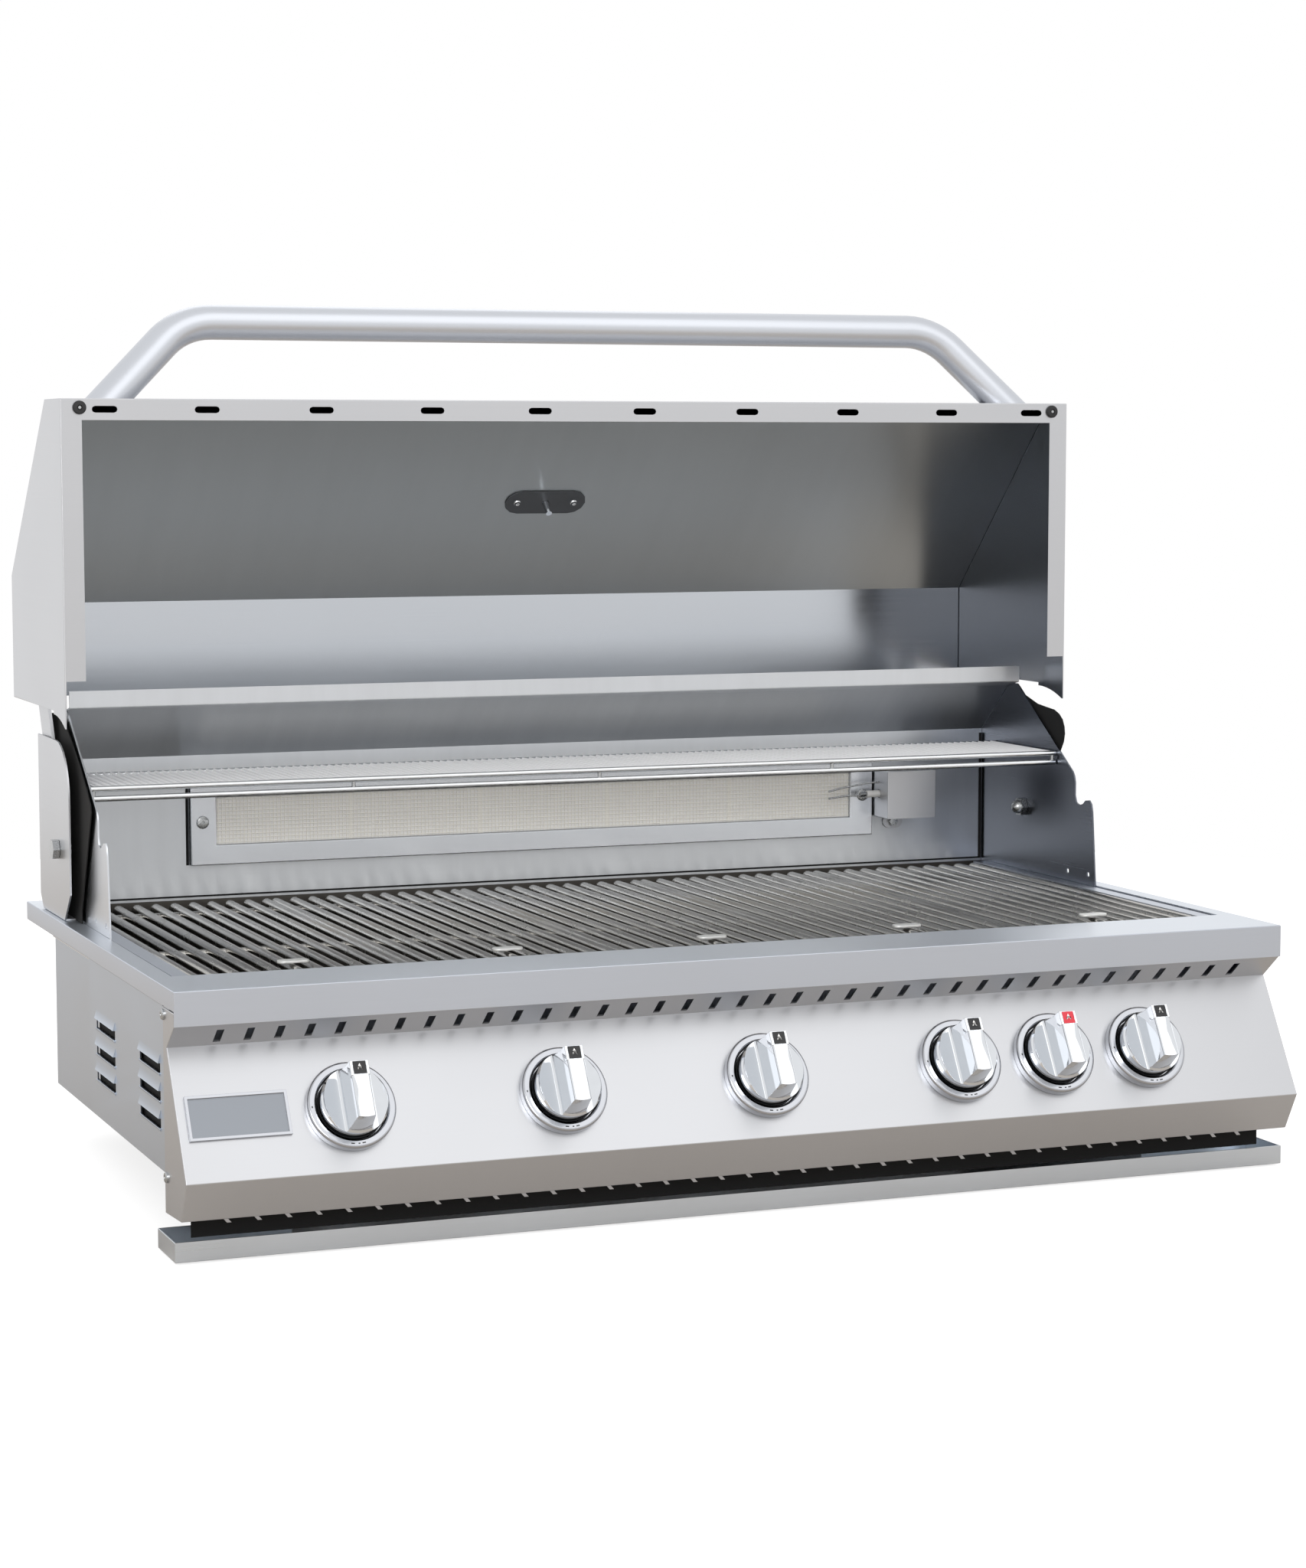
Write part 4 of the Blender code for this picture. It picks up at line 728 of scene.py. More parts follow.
@dataclass
class FoldedSheet:
    """A sheet-metal node copied with its folds rounded as a press brake rounds them."""

    node: str
    finish: Finish
    fold: float = 1.3 * MM
    body: str = "root"
    slot: str = "brushed_stainless"
    least_length: float = 30 * MM
    least_width: float = 4 * MM
    slot_corner: float = 0.0
    slot_gauge: float = 2.6 * MM
    fold_steps: int = 4
    sharp_angle: float = 20
    flat_angle: float = 0.6

    def is_sharp(self, edge: bmesh.types.BMEdge) -> bool:
        """True where two faces meet at a clear angle."""
        return len(edge.link_faces) == 2 and edge.calc_face_angle(0.0) > math.radians(self.sharp_angle)

    def is_fold(self, edge: bmesh.types.BMEdge) -> bool:
        """True on the outside of a long bend between two wide faces.

        Args:
            edge: the edge to judge.

        Returns:
            Whether the edge is a fold.
        """
        length = edge.calc_length()
        if length < self.least_length or not self.is_sharp(edge) or not edge.is_convex:
            return False
        return all(face.calc_area() / length > self.least_width for face in edge.link_faces)

    def is_slot_corner(self, edge: bmesh.types.BMEdge) -> bool:
        """True on a corner of a punched hole."""
        return edge.calc_length() < self.slot_gauge and self.is_sharp(edge) and not edge.is_convex

    def build(self, *meshes: Mesh) -> None:
        """Let the given meshes, or the rounded copy, stand for the node."""
        keep(self.node + "_sheet", meshes or (self.rounded(),), self.slot, self.body, self.node)

    def rounded(self) -> Mesh:
        """Copy the node and round its folds.

        Returns:
            A plain mesh.
        """
        sheet = bmesh.new()
        sheet.from_mesh(frame["nodes"][self.node].data)
        bmesh.ops.remove_doubles(sheet, verts=sheet.verts, dist=WELD)
        bmesh.ops.dissolve_limit(sheet, angle_limit=math.radians(self.flat_angle), verts=sheet.verts,
                                 edges=sheet.edges)
        self.round_off(sheet, self.is_fold, self.fold)
        if self.slot_corner:
            self.round_off(sheet, self.is_slot_corner, self.slot_corner)
        mesh = bpy.data.meshes.new("sheet")
        sheet.to_mesh(mesh)
        sheet.free()
        mesh.materials.append(self.finish.material())
        return smoothed(mesh)

    def round_off(self, sheet: bmesh.types.BMesh, chosen: Callable[[bmesh.types.BMEdge], bool],
                  radius: float) -> None:
        """Round the chosen edges.

        Args:
            sheet: the sheet to change.
            chosen: tells which edges are rounded.
            radius: how far the rounding reaches.
        """
        edges = [edge for edge in sheet.edges if chosen(edge)]
        if edges:
            bmesh.ops.bevel(sheet, geom=edges, offset=radius, offset_type="OFFSET", segments=self.fold_steps,
                            profile=0.5, affect="EDGES", clamp_overlap=True, material=-1)


# Patterns made with Geometry Nodes


class Pattern:
    """A Geometry Nodes tree with named inputs, run to give plain meshes."""

    inputs: Mapping[str, str] = {}

    def __init__(self) -> None:
        """Make the tree's sockets and let the subclass wire them."""
        self.tree = bpy.data.node_groups.new(type(self).__name__, "GeometryNodeTree")
        sockets = self.tree.interface
        sockets.new_socket(name="Geometry", in_out="INPUT", socket_type="NodeSocketGeometry")
        for label, kind in {**self.inputs, "Finish": "NodeSocketMaterial"}.items():
            sockets.new_socket(name=label, in_out="INPUT", socket_type=kind)
        sockets.new_socket(name="Geometry", in_out="OUTPUT", socket_type="NodeSocketGeometry")
        self.given = add(self.tree, "NodeGroupInput").outputs
        real = add(self.tree, "GeometryNodeRealizeInstances", None, {0: self.wire()})
        dressed = add(self.tree, "GeometryNodeSetMaterial", None,
                      {"Geometry": real.outputs[0], "Material": self.given["Finish"]})
        add(self.tree, "NodeGroupOutput", None, {0: dressed.outputs[0]})

    def wire(self) -> Socket:
        """Lead the given geometry to the pattern's own."""
        raise NotImplementedError

    def run(self, points: Sequence[Place], edges: Sequence[tuple[int, int]], finish: Finish,
            values: Mapping[str, object]) -> Mesh:
        """Run the tree on a seed of points and edges.

        Args:
            points: the seed's points.
            edges: pairs of points that the seed joins.
            finish: the finish that the tree sets.
            values: the named inputs.

        Returns:
            A plain mesh.
        """
        seed = bpy.data.meshes.new("seed")
        seed.from_pydata([tuple(point) for point in points], edges, [])
        item = thing("seed", seed)
        modifier = item.modifiers.new("Pattern", "NODES")
        modifier.node_group = self.tree
        wanted = {**values, "Finish": finish.material()}
        for socket in self.tree.interface.items_tree:
            if socket.in_out == "INPUT" and socket.name in wanted:
                modifier[socket.identifier] = wanted[socket.name]
        return plain(item)


class RodRow(Pattern):
    """Round rods bent along the seed's edges and repeated in a straight row."""

    inputs = {"Radius": "NodeSocketFloat", "Bend": "NodeSocketFloat", "Bend Steps": "NodeSocketInt",
              "Sides": "NodeSocketInt", "Count": "NodeSocketInt", "Step": "NodeSocketVector"}
    bend_steps = 7

    def wire(self) -> Socket:
        """Sweep a circle along the rounded path and put it on each point of the row.

        Returns:
            The row's geometry.
        """
        tree, given = self.tree, self.given
        path = add(tree, "GeometryNodeMeshToCurve", None, {0: given["Geometry"]})
        bent = add(tree, "GeometryNodeFilletCurve", {"mode": "POLY"},
                   {"Curve": path.outputs[0], "Count": given["Bend Steps"],
                    "Radius": given["Bend"], "Limit Radius": True})
        circle = add(tree, "GeometryNodeCurvePrimitiveCircle", {"mode": "RADIUS"},
                     {"Resolution": given["Sides"], "Radius": given["Radius"]})
        rod = add(tree, "GeometryNodeCurveToMesh", None,
                  {"Curve": bent.outputs[0], "Profile Curve": circle.outputs[0], "Fill Caps": True})
        smooth = add(tree, "GeometryNodeSetShadeSmooth", None, {0: rod.outputs[0]})
        row = add(tree, "GeometryNodeMeshLine", {"mode": "OFFSET"},
                  {"Count": given["Count"], "Offset": given["Step"]})
        copies = add(tree, "GeometryNodeInstanceOnPoints", None,
                     {"Points": row.outputs[0], "Instance": smooth.outputs[0]})
        return copies.outputs[0]

    def rods(self, paths: Sequence[Sequence[Place]], finish: Finish, radius: float, sides: int = 12,
             count: int = 1, step: Place = (0, 0, 0), bend: float = 0.0) -> Mesh:
        """Make rods along paths, with flat ends.

        Args:
            paths: corner points of each rod.
            finish: the rods' finish.
            radius: the rods' radius.
            sides: sides of the round section.
            count: how many copies the row has.
            step: from one copy to the next.
            bend: centre-line radius at each corner.

        Returns:
            A plain mesh with its flat ends kept sharp.
        """
        points: list[Place] = []
        edges: list[tuple[int, int]] = []
        for path in paths:
            start = len(points)
            points += list(path)
            edges += [(start + index, start + index + 1) for index in range(len(path) - 1)]
        mesh = self.run(points, edges, finish, {"Radius": radius, "Bend": bend, "Bend Steps": self.bend_steps,
                                                "Sides": sides, "Count": count, "Step": step})
        return shaded(mesh, 60)


class Scatter(Pattern):
    """One small piece put on each of the seed's points."""

    inputs = {"Piece": "NodeSocketObject", "Turn": "NodeSocketRotation"}

    def wire(self) -> Socket:
        """Put the piece on every point.

        Returns:
            The copies' geometry.
        """
        info = add(self.tree, "GeometryNodeObjectInfo", {"transform_space": "ORIGINAL"},
                   {"Object": self.given["Piece"]})
        copies = add(self.tree, "GeometryNodeInstanceOnPoints", None,
                     {"Points": self.given["Geometry"], "Instance": info.outputs["Geometry"],
                      "Rotation": self.given["Turn"]})
        return copies.outputs[0]

    def copies(self, piece: Mesh, spots: Sequence[Place], turn: Matrix, finish: Finish) -> Mesh:
        """Copy a small mesh onto each spot, turned alike.

        Args:
            piece: the small mesh.
            spots: where the copies go.
            turn: how each copy is turned.
            finish: the copies' finish.

        Returns:
            A plain mesh.
        """
        model = thing("model", piece)
        mesh = self.run(spots, [], finish, {"Piece": model, "Turn": turn.to_euler()})
        bpy.data.objects.remove(model, do_unlink=True)
        return mesh


class Side(Enum):
    """Left and right of the grill, as the cook sees them."""

    LEFT = -1
    RIGHT = 1

    @property
    def word(self) -> str:
        """The side's name as it stands in node names."""
        return self.name.lower()


# Turns that point a fastener's z out of the front, and out of each side
FACING_FRONT = Matrix.Rotation(math.radians(90), 4, "X")
FACING = {Side.LEFT: Matrix.Rotation(math.radians(-90), 4, "Y"),
          Side.RIGHT: Matrix.Rotation(math.radians(90), 4, "Y")}


@dataclass
class Fasteners:
    """Screws, rivets and nuts as small turned shapes that face along z."""

    screw_radius: float = 4.6 * MM
    screw_height: float = 2.3 * MM
    socket_radius: float = 1.7 * MM
    socket_depth: float = 1.7 * MM
    socket_floor: float = 0.8
    head_shares: tuple[tuple[float, float], ...] = ((1, 0), (0.98, 0.45), (0.8, 0.86))
    rim_shares: tuple[tuple[float, float], ...] = ((1.15, 1), (1, 0.96))
    cap_radius: float = 3.92 * MM
    cap_height: float = 2.86 * MM
    dome_radius: float = 7.0 * MM
    dome_height: float = 7.5 * MM

    def screw(self, size: float = 1.0) -> Mesh:
        """Pan head with a round socket in the middle; its width can be scaled.

        Args:
            size: factor on the head's width.

        Returns:
            A plain mesh.
        """
        top, floor = self.screw_height, self.screw_height - self.socket_depth
        profile = [(0, 0)]
        for radius, shares in ((self.screw_radius * size, self.head_shares),
                               (self.socket_radius, self.rim_shares)):
            profile += [(radius * across, top * up) for across, up in shares]
        profile += [(self.socket_radius * self.socket_floor, floor), (0, floor)]
        return self.finished(lathe(profile, 16))

    def cap(self) -> Mesh:
        """Cap that covers the head of a rivet on the probe's plate."""
        return self.dome(self.cap_radius, self.cap_height)

    def acorn(self) -> Mesh:
        """Cap of an acorn nut."""
        return self.dome(self.dome_radius, self.dome_height)

    def dome(self, radius: float, height: float) -> Mesh:
        """Half an ellipsoid that stands on its flat face.

        Args:
            radius: radius of the flat face.
            height: height above the flat face.

        Returns:
            A plain mesh.
        """
        profile = [(0, 0)]
        profile += [(radius * math.cos(math.radians(turn)), height * math.sin(math.radians(turn)))
                    for turn in (0, 22, 45, 68)]
        return self.finished(lathe(profile + [(0, height)], 14))

    def finished(self, shape: Shape) -> Mesh:
        """Shade a fastener's shape smooth between its edges."""
        return smoothed(mesh_of([shape], ZINC))


# Sub-assemblies


@dataclass
class Case:
    """Trim, control panel, side panels and drip tray, all folded sheet."""

    panel_slot_corner: float = 2.3 * MM
    end_screws: tuple[tuple[float, float], ...] = ((36, -23), (31, -153))
    thin_fold: float = 1.0 * MM
    wide_fold: float = 2.4 * MM
    louvre_starts: tuple[float, float] = (67.9, 230.4)
    louvre_length: float = 71.2
    louvre_rows: int = 3
    louvre_edge: float = -68.2
    louvre_pitch: float = 22.5
    mouth_height: float = 7.6
    side_face: float = 497 * MM
    mouth_depth: float = 3 * MM
    lip_proud: float = 1.4 * MM
    lip_edge: float = 1 * MM
    lip_drop: float = 3 * MM
    backing_face: float = 493 * MM
    backing_gauge: float = 0.6 * MM
    backing_margin: float = 4
    baffle: tuple[float, float, float] = (-488, 486, -183.2)
    baffle_y: float = 9.5
    baffle_foot: float = -198.2
    tick_pitch: float = 24.98
    tick_first: float = -463.5
    tick_length: float = 4.6
    tick_drop: float = 5.2
    tick_width: float = 3.6
    tick_gauge: float = 0.4 * MM
    ledge_slope: float = 0.95

    def build(self, scatter: Scatter, fasteners: Fasteners) -> None:
        """Round the folds and add the screws at the panel's ends.

        Args:
            scatter: the tree that copies a piece onto spots.
            fasteners: the screws and caps.
        """
        self.build_trim()
        FoldedSheet("control_panel", CASE_STEEL, self.wide_fold, slot_corner=self.panel_slot_corner).build()
        FoldedSheet("drip_tray", TRAY_STEEL, self.thin_fold, "tray").build()
        self.build_baffle()
        for side in Side:
            self.side_panel(side)
            self.screws(side, scatter, fasteners)

    def build_trim(self) -> None:
        """Trim frame with painted light: a paler colour on the faces that look up."""
        sheet = FoldedSheet("trim_frame", TRIM_STEEL, self.wide_fold)
        trim = sheet.rounded()
        trim.materials.append(LIT_LEDGE_STEEL.material())
        for face in trim.polygons:
            face.material_index = int(face.normal.z > self.ledge_slope)
        sheet.build(trim)

    def build_baffle(self) -> None:
        """Black strip of painted shade behind the panel's lower edge, with a row of small slanted steel tabs.
        """
        left, right, top = self.baffle
        strip = block(case(left, self.baffle_y, self.baffle_foot), case(right, self.baffle_y + 1, top))
        ticks = []
        start = self.tick_first
        while start < right - self.tick_pitch:
            tip, foot, width = start + self.tick_length, top - self.tick_drop, self.tick_width
            outline = [(start, top), (start + width, top), (tip + width, foot), (tip, foot)]
            places = [case(across, self.baffle_y, up) for across, up in outline]
            face = places[0].y
            ticks.append(prism([(place.x, place.z) for place in places], "Y", face - self.tick_gauge, face))
            start += self.tick_pitch
        keep("front_baffle", (mesh_of([strip], SHADE_BLACK), mesh_of(ticks, CASE_STEEL)), "zinc_fastener")

    def side_panel(self, side: Side) -> None:
        """Louvred panel with wide open mouths, a pressed lip under each, and a black plate of painted shade
        behind them.

        Args:
            side: the side of the grill.
        """
        sheet = FoldedSheet(f"side_panel_{side.word}", SIDE_STEEL, self.thin_fold)
        mouths = []
        lips = []
        for start in self.louvre_starts:
            for row in range(self.louvre_rows):
                edge = self.louvre_edge - row * self.louvre_pitch
                low = case(0, start, edge - self.mouth_height)
                high = case(0, start + self.louvre_length, edge)
                face = side.value * self.side_face
                inner, outer = face - side.value * self.mouth_depth, face + side.value * self.lip_proud
                mouths.append(block((min(inner, outer), low.y, low.z), (max(inner, outer), high.y, high.z)))
                lip = [(inner / 2 + face / 2, low.z), (outer, low.z), (outer, low.z - self.lip_edge),
                       (face, low.z - self.lip_drop)]
                lips.append(prism(lip, "Y", low.y, high.y))
        panel = combined(sheet.rounded(), mouths, "DIFFERENCE", SIDE_STEEL)
        rims = mesh_of(lips, SIDE_STEEL)
        # Black plate behind the mouths: painted shade, so that they read dark
        back = self.backing_face
        faces = sorted(side.value * face for face in (back, back + self.backing_gauge))
        foot = self.louvre_edge - (self.louvre_rows - 1) * self.louvre_pitch - self.mouth_height
        low = case(0, self.louvre_starts[0] - self.backing_margin, foot - self.backing_margin)
        high = case(0, self.louvre_starts[1] + self.louvre_length + self.backing_margin,
                    self.louvre_edge + self.backing_margin)
        backing = mesh_of([block((faces[0], low.y, low.z), (faces[1], high.y, high.z))], SHADE_BLACK)
        sheet.build(smoothed(panel), smoothed(rims, EASE), backing)

    def screws(self, side: Side, scatter: Scatter, fasteners: Fasteners) -> None:
        """Screws through the control panel's closed end.

        Args:
            side: the side of the grill.
            scatter: the tree that copies a piece onto spots.
            fasteners: the screws and caps.
        """
        low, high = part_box("control_panel")
        face = low.x if side is Side.LEFT else high.x
        spots = [Vector((face, *case(0, y, z).yz)) for y, z in self.end_screws]
        mesh = scatter.copies(fasteners.screw(), spots, FACING[side], ZINC)
        keep(f"panel_screws_{side.word}.001", (mesh,), "zinc_fastener")


@dataclass
class Controls:
    """Badge plate, bezels and knobs on the sloping panel."""

    knobs: int = 6
    bezel_radius: float = 36.6 * MM
    bezel_bore: float = 30 * MM
    bezel_height: float = 8.3 * MM
    bezel_foot: float = 0.3 * MM
    cup_bore: float = 7 * MM
    cup_height: float = 1.2 * MM
    seal: float = 1.3 * MM
    seal_height: float = 3.6 * MM
    skirt_radius: float = 27.9 * MM
    skirt_top: float = 18 * MM
    crown_radius: float = 23.4 * MM
    foot: float = 5 * MM
    rim: float = 24 * MM
    root: float = 17.5 * MM
    top: float = 43.8 * MM
    grip: float = 14.6 * MM
    grip_splay: float = 2.2 * MM
    root_fillet: float = 2.6 * MM
    top_corner: float = 1.6 * MM
    tab_start: float = 11.5 * MM
    tab_end: float = 24 * MM
    tab_foot: float = 27 * MM
    tab_half: float = 7.9 * MM
    stem_hole: float = 5.3 * MM
    stem_hole_top: float = 16 * MM
    mark: float = 10.6 * MM
    paint: float = 0.15 * MM
    badge_frame: float = 2.6 * MM
    badge_proud: float = 0.9 * MM
    badge_sink: float = 0.5 * MM
    badge_lap: float = 0.05 * MM
    badge_ease: float = 0.35 * MM
    shoulder: float = 2.4 * MM
    bezel_lip: float = 0.9 * MM
    seal_gap: float = 0.2 * MM
    blank_margin: float = 2 * MM
    blank_edge: float = 0.8 * MM
    knob_ease: float = 0.5 * MM
    tab_ease: float = 0.6 * MM
    mark_inset: float = 0.9 * MM
    paint_depth: float = 0.1 * MM
    flame_foot: tuple[float, float] = (-1.0 * MM, 2.3 * MM)
    flame_tip: tuple[tuple[float, float], ...] = (
        (0.9 * MM, 1.6 * MM), (0.2 * MM, 3.4 * MM), (-0.9 * MM, 1.8 * MM))
    core: tuple[float, float] = (-1.3 * MM, 1.0 * MM)
    tick_half: float = 0.45 * MM
    tick_inset: float = 0.4 * MM
    ticks: tuple[tuple[float, float], ...] = (
        (180, 1.6 * MM), (262, 2.8 * MM), (271, 1.4 * MM), (278, 2.8 * MM))

    def place(self, number: int) -> Matrix:
        """Frame on the panel at a knob: z out of the panel, y up the slope.

        Args:
            number: the knob's number.

        Returns:
            The frame as a matrix.
        """
        joint = next(joint for joint in frame["joints"] if joint["name"] == f"knob_{number}_turn")
        out = Vector(joint["axis"]).normalized()
        spot = Vector(joint["pos_m"])
        heights = [out.dot(vertex.co - spot) for vertex in frame["nodes"][f"bezel_{number}"].data.vertices]
        return Matrix.Translation(spot + out * (min(heights) - self.bezel_foot)) @ facing(out)

    def build(self) -> None:
        """Make the badge and each control."""
        self.build_badge()
        knob = (self.knob_mesh(), self.tab_mesh())
        bezel = (smoothed(mesh_of([ring(self.bezel_section(), 72)], BEZEL_CHROME)), self.tick_mesh())
        cup = self.cup_meshes()
        for number in range(1, self.knobs + 1):
            place = self.place(number)
            node = f"knob_{number}"
            paint = RED_PAINT if number == self.knobs else BLACK_PAINT
            for name, meshes, body, *nodes in (
                    (f"bezel_{number}_ring", bezel, "root", f"bezel_{number}"),
                    (f"bezel_{number}_cup", cup, "root"),
                    (f"{node}_chrome", (*knob, *self.mark_meshes(paint)), node, node)):
                keep(name, [shifted(mesh, place) for mesh in meshes], "chromed_zinc", body, *nodes)
            dress(f"valve_stem_{number}", ZINC)

    def bezel_section(self) -> Outline:
        """Section of the ring: flat face, rounded outside, chamfered bore.

        Returns:
            Radius and height pairs.
        """
        outer, bore, top, shoulder = self.bezel_radius, self.bezel_bore, self.bezel_height, self.shoulder
        section = [(bore, self.bezel_foot), (outer, self.bezel_foot)]
        section += arc((outer - shoulder, top - shoulder), shoulder, 0, 90, 6)
        return section + [(bore + self.bezel_lip, top), (bore, top - self.bezel_lip)]

    def tick_mesh(self) -> Mesh:
        """Painted ticks on the bezel's face.

        Returns:
            A plain mesh.
        """
        half, top = self.tick_half, self.bezel_height
        middle = (self.bezel_bore + self.bezel_radius) / 2 - self.tick_inset
        ticks = []
        for angle, length in self.ticks:
            tick = block((-length / 2, -half, top - self.paint_depth), (length / 2, half, top + self.paint))
            ticks.append(moved(tick, Matrix.Rotation(math.radians(angle + 90), 4, "Z")
                               @ Matrix.Translation((0, -middle, 0))))
        return mesh_of(ticks, BLACK_PAINT)

    def cup_meshes(self) -> list[Mesh]:
        """Pale cup under the knob with a black seal round it.

        Returns:
            The cup and the seal.
        """
        rim, foot = self.bezel_bore - self.seal_gap, self.bezel_foot
        inner = rim - self.seal
        return [smoothed(mesh_of([ring([(low, foot), (high, foot), (high, top), (low, top)], 48)], finish))
                for low, high, top, finish in ((self.cup_bore, inner, self.cup_height, BEZEL_CHROME),
                                               (inner, rim, self.seal_height, RUBBER))]

    def section(self) -> Outline:
        """Section of the knob: a tall grip between two scoops that fall towards it.

        Returns:
            Points across the knob and up from the panel.
        """
        reach = self.skirt_radius + self.blank_margin
        wall = self.grip / 2
        start = wall + self.grip_splay + self.root_fillet
        steps = 8
        half = [(reach, self.foot)]
        for step in range(steps + 1):
            share = step / steps
            across = reach + (start - reach) * share
            half.append((across, self.root + (self.rim - self.root) * (1 - share) ** 2))
        half += arc((start, self.root + self.root_fillet), self.root_fillet, 270, 188, 4)[1:]
        half += arc((wall - self.top_corner, self.top - self.top_corner), self.top_corner, 0, 90, 4)
        return half + [(-across, height) for across, height in reversed(half)]

    def knob_mesh(self) -> Mesh:
        """Knob body: the scooped section inside a slightly tapered turned blank.

        Returns:
            A plain mesh.
        """
        reach = self.skirt_radius + self.blank_margin
        body = mesh_of([prism(self.section(), "Y", -reach, reach)], CHROME)
        edge, skirt, brow = self.blank_edge, self.skirt_radius, self.skirt_top
        blank = [(0, self.foot), (skirt - edge, self.foot), (skirt, self.foot + edge), (skirt, brow),
                 (skirt - 2 * edge, brow + 2 * edge), (self.crown_radius, self.top), (0, self.top)]
        body = combined(body, [lathe(blank, 72)], "INTERSECT", CHROME)
        hole = lathe([(0, self.foot - MM), (self.stem_hole, self.foot - MM),
                      (self.stem_hole, self.stem_hole_top), (0, self.stem_hole_top)], 24)
        body = combined(body, [hole], "DIFFERENCE", CHROME)
        return smoothed(body, self.knob_ease, segments=3, angle=38)

    def tab_mesh(self) -> Mesh:
        """Pointer tab at the upper end of the grip, a little wider than the grip.

        Returns:
            A plain mesh.
        """
        half = self.tab_half
        shape = block((-half, self.tab_start, self.tab_foot), (half, self.tab_end, self.top))
        return smoothed(mesh_of([shape], CHROME), self.tab_ease, segments=3)

    def mark_meshes(self, paint: Finish) -> list[Mesh]:
        """Painted square on the tab with a plain flame in it.

        Args:
            paint: the square's paint.

        Returns:
            The square, the flame and the flame's core.
        """
        middle = self.tab_end - self.mark_inset - self.mark / 2
        half = self.mark / 2
        depth = self.paint_depth
        low, high = self.top - depth / 2, self.top + self.paint
        square = block((-half, middle - half, low), (half, middle + half, high))
        foot, radius = self.flame_foot
        flame = [*arc((0, foot), radius, 200, -20, 10), *self.flame_tip]
        flame = [(across, middle + up) for across, up in reversed(flame)]
        rise, radius = self.core
        core = [(across, middle + rise + up) for across, up in arc((0, 0), radius, 0, 330, 11)]
        return [mesh_of([square], paint),
                mesh_of([prism(flame, "Z", high - depth / 2, high + depth)], WHITE_PAINT),
                mesh_of([prism(core, "Z", high, high + 2 * depth)], paint)]

    def build_badge(self) -> None:
        """Bare badge plate: a pale raised frame round a grey field."""
        place = self.place(1)
        points = [place.inverted() @ vertex.co for vertex in frame["nodes"]["badge_plate"].data.vertices]
        low, high = (Vector([pick(point[axis] for point in points) for axis in range(3)])
                     for pick in (min, max))
        inset = Vector((self.badge_frame, self.badge_frame, 0))
        field_top = high.z - self.badge_sink
        rim = mesh_of([block(low, (*high.xy, high.z + self.badge_proud))], BEZEL_CHROME)
        hollow = block((*(low + inset).xy, field_top), (*(high - inset).xy, high.z + MM))
        rim = smoothed(combined(rim, [hollow], "DIFFERENCE", BEZEL_CHROME), self.badge_ease)
        lap = self.badge_lap
        inset -= Vector((lap, lap, 0))
        field = block((*(low + inset).xy, field_top - lap), (*(high - inset).xy, field_top + lap))
        keep("badge_plate_bare", [shifted(mesh, place) for mesh in (rim, mesh_of([field], BADGE_GREY))],
             "satin_stainless", "root", "badge_plate")


@dataclass
class CookingGrates:
    """Lift-out grates of round rods on cross rods, each with a lifting tab."""

    count: int = 5
    rods: int = 11
    radius: float = 4.5 * MM
    bend: float = 8 * MM
    cross_radius: float = 4 * MM
    cross_places: tuple[float, ...] = (24 * MM, 168 * MM, 407 * MM)
    cross_overlap: float = 5 * MM
    tab_length: float = 27 * MM
    tab_depth: float = 13 * MM
    tab_gauge: float = 2 * MM
    tab_place: float = 33 * MM
    tab_rise: float = 1.6 * MM
    ledge_gap: float = 1 * MM
    ledge_drop: float = 1.2 * MM
    ledge_gauge: float = 1.5 * MM
    wall_gap: float = 0.3 * MM

    def build(self, rows: RodRow) -> None:
        """Make each grate in place of its node, and the steel ledges beside the outer ones.

        Args:
            rows: the tree that makes rods.
        """
        left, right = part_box("grate_1"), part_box(f"grate_{self.count}")
        half = frame_half("rear_hood") - self.wall_gap
        front, rear, top = left[0].y, left[1].y, TRIM_HIGH.z - self.ledge_drop
        foot, gap = top - self.ledge_gauge, self.ledge_gap
        ledges = [block((CASE.x - half, front, foot), (left[0].x - gap, rear, top)),
                  block((right[1].x + gap, front, foot), (CASE.x + half, rear, top))]
        keep("grate_ledges", (mesh_of(ledges, TRIM_STEEL),), "brushed_stainless")
        for number in range(1, self.count + 1):
            self.build_grate(f"grate_{number}", rows)

    def build_grate(self, node: str, rows: RodRow) -> None:
        """One grate between the corners of its node.

        Args:
            node: the CAD node's name.
            rows: the tree that makes rods.
        """
        low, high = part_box(node)
        left = low.x + self.radius
        front, rear = low.y + self.radius, high.y - self.radius
        level = high.z - self.radius
        path = [(left, front, low.z), (left, front, level), (left, rear, level), (left, rear, low.z)]
        pitch = (high.x - low.x - 2 * self.radius) / (self.rods - 1)
        rods = rows.rods([path], ROD_STEEL, self.radius, sides=14, count=self.rods, step=(pitch, 0, 0),
                         bend=self.bend)
        under = level - self.radius - self.cross_radius + self.cross_overlap
        crosses = [[(x, low.y + place, under) for x in (low.x, high.x)] for place in self.cross_places]
        bars = rows.rods(crosses, ROD_STEEL, self.cross_radius)
        middle = (low.x + high.x) / 2
        outline = [(middle + across, low.y + self.tab_place + along)
                   for across, along in stadium(self.tab_length, self.tab_depth, 8)]
        foot = high.z + self.tab_rise
        plate = smoothed(mesh_of([prism(outline, "Z", foot, foot + self.tab_gauge)], TAB_STEEL), EASE)
        keep(f"{node}_rods", (rods, bars, plate), "grate_steel", node, node)


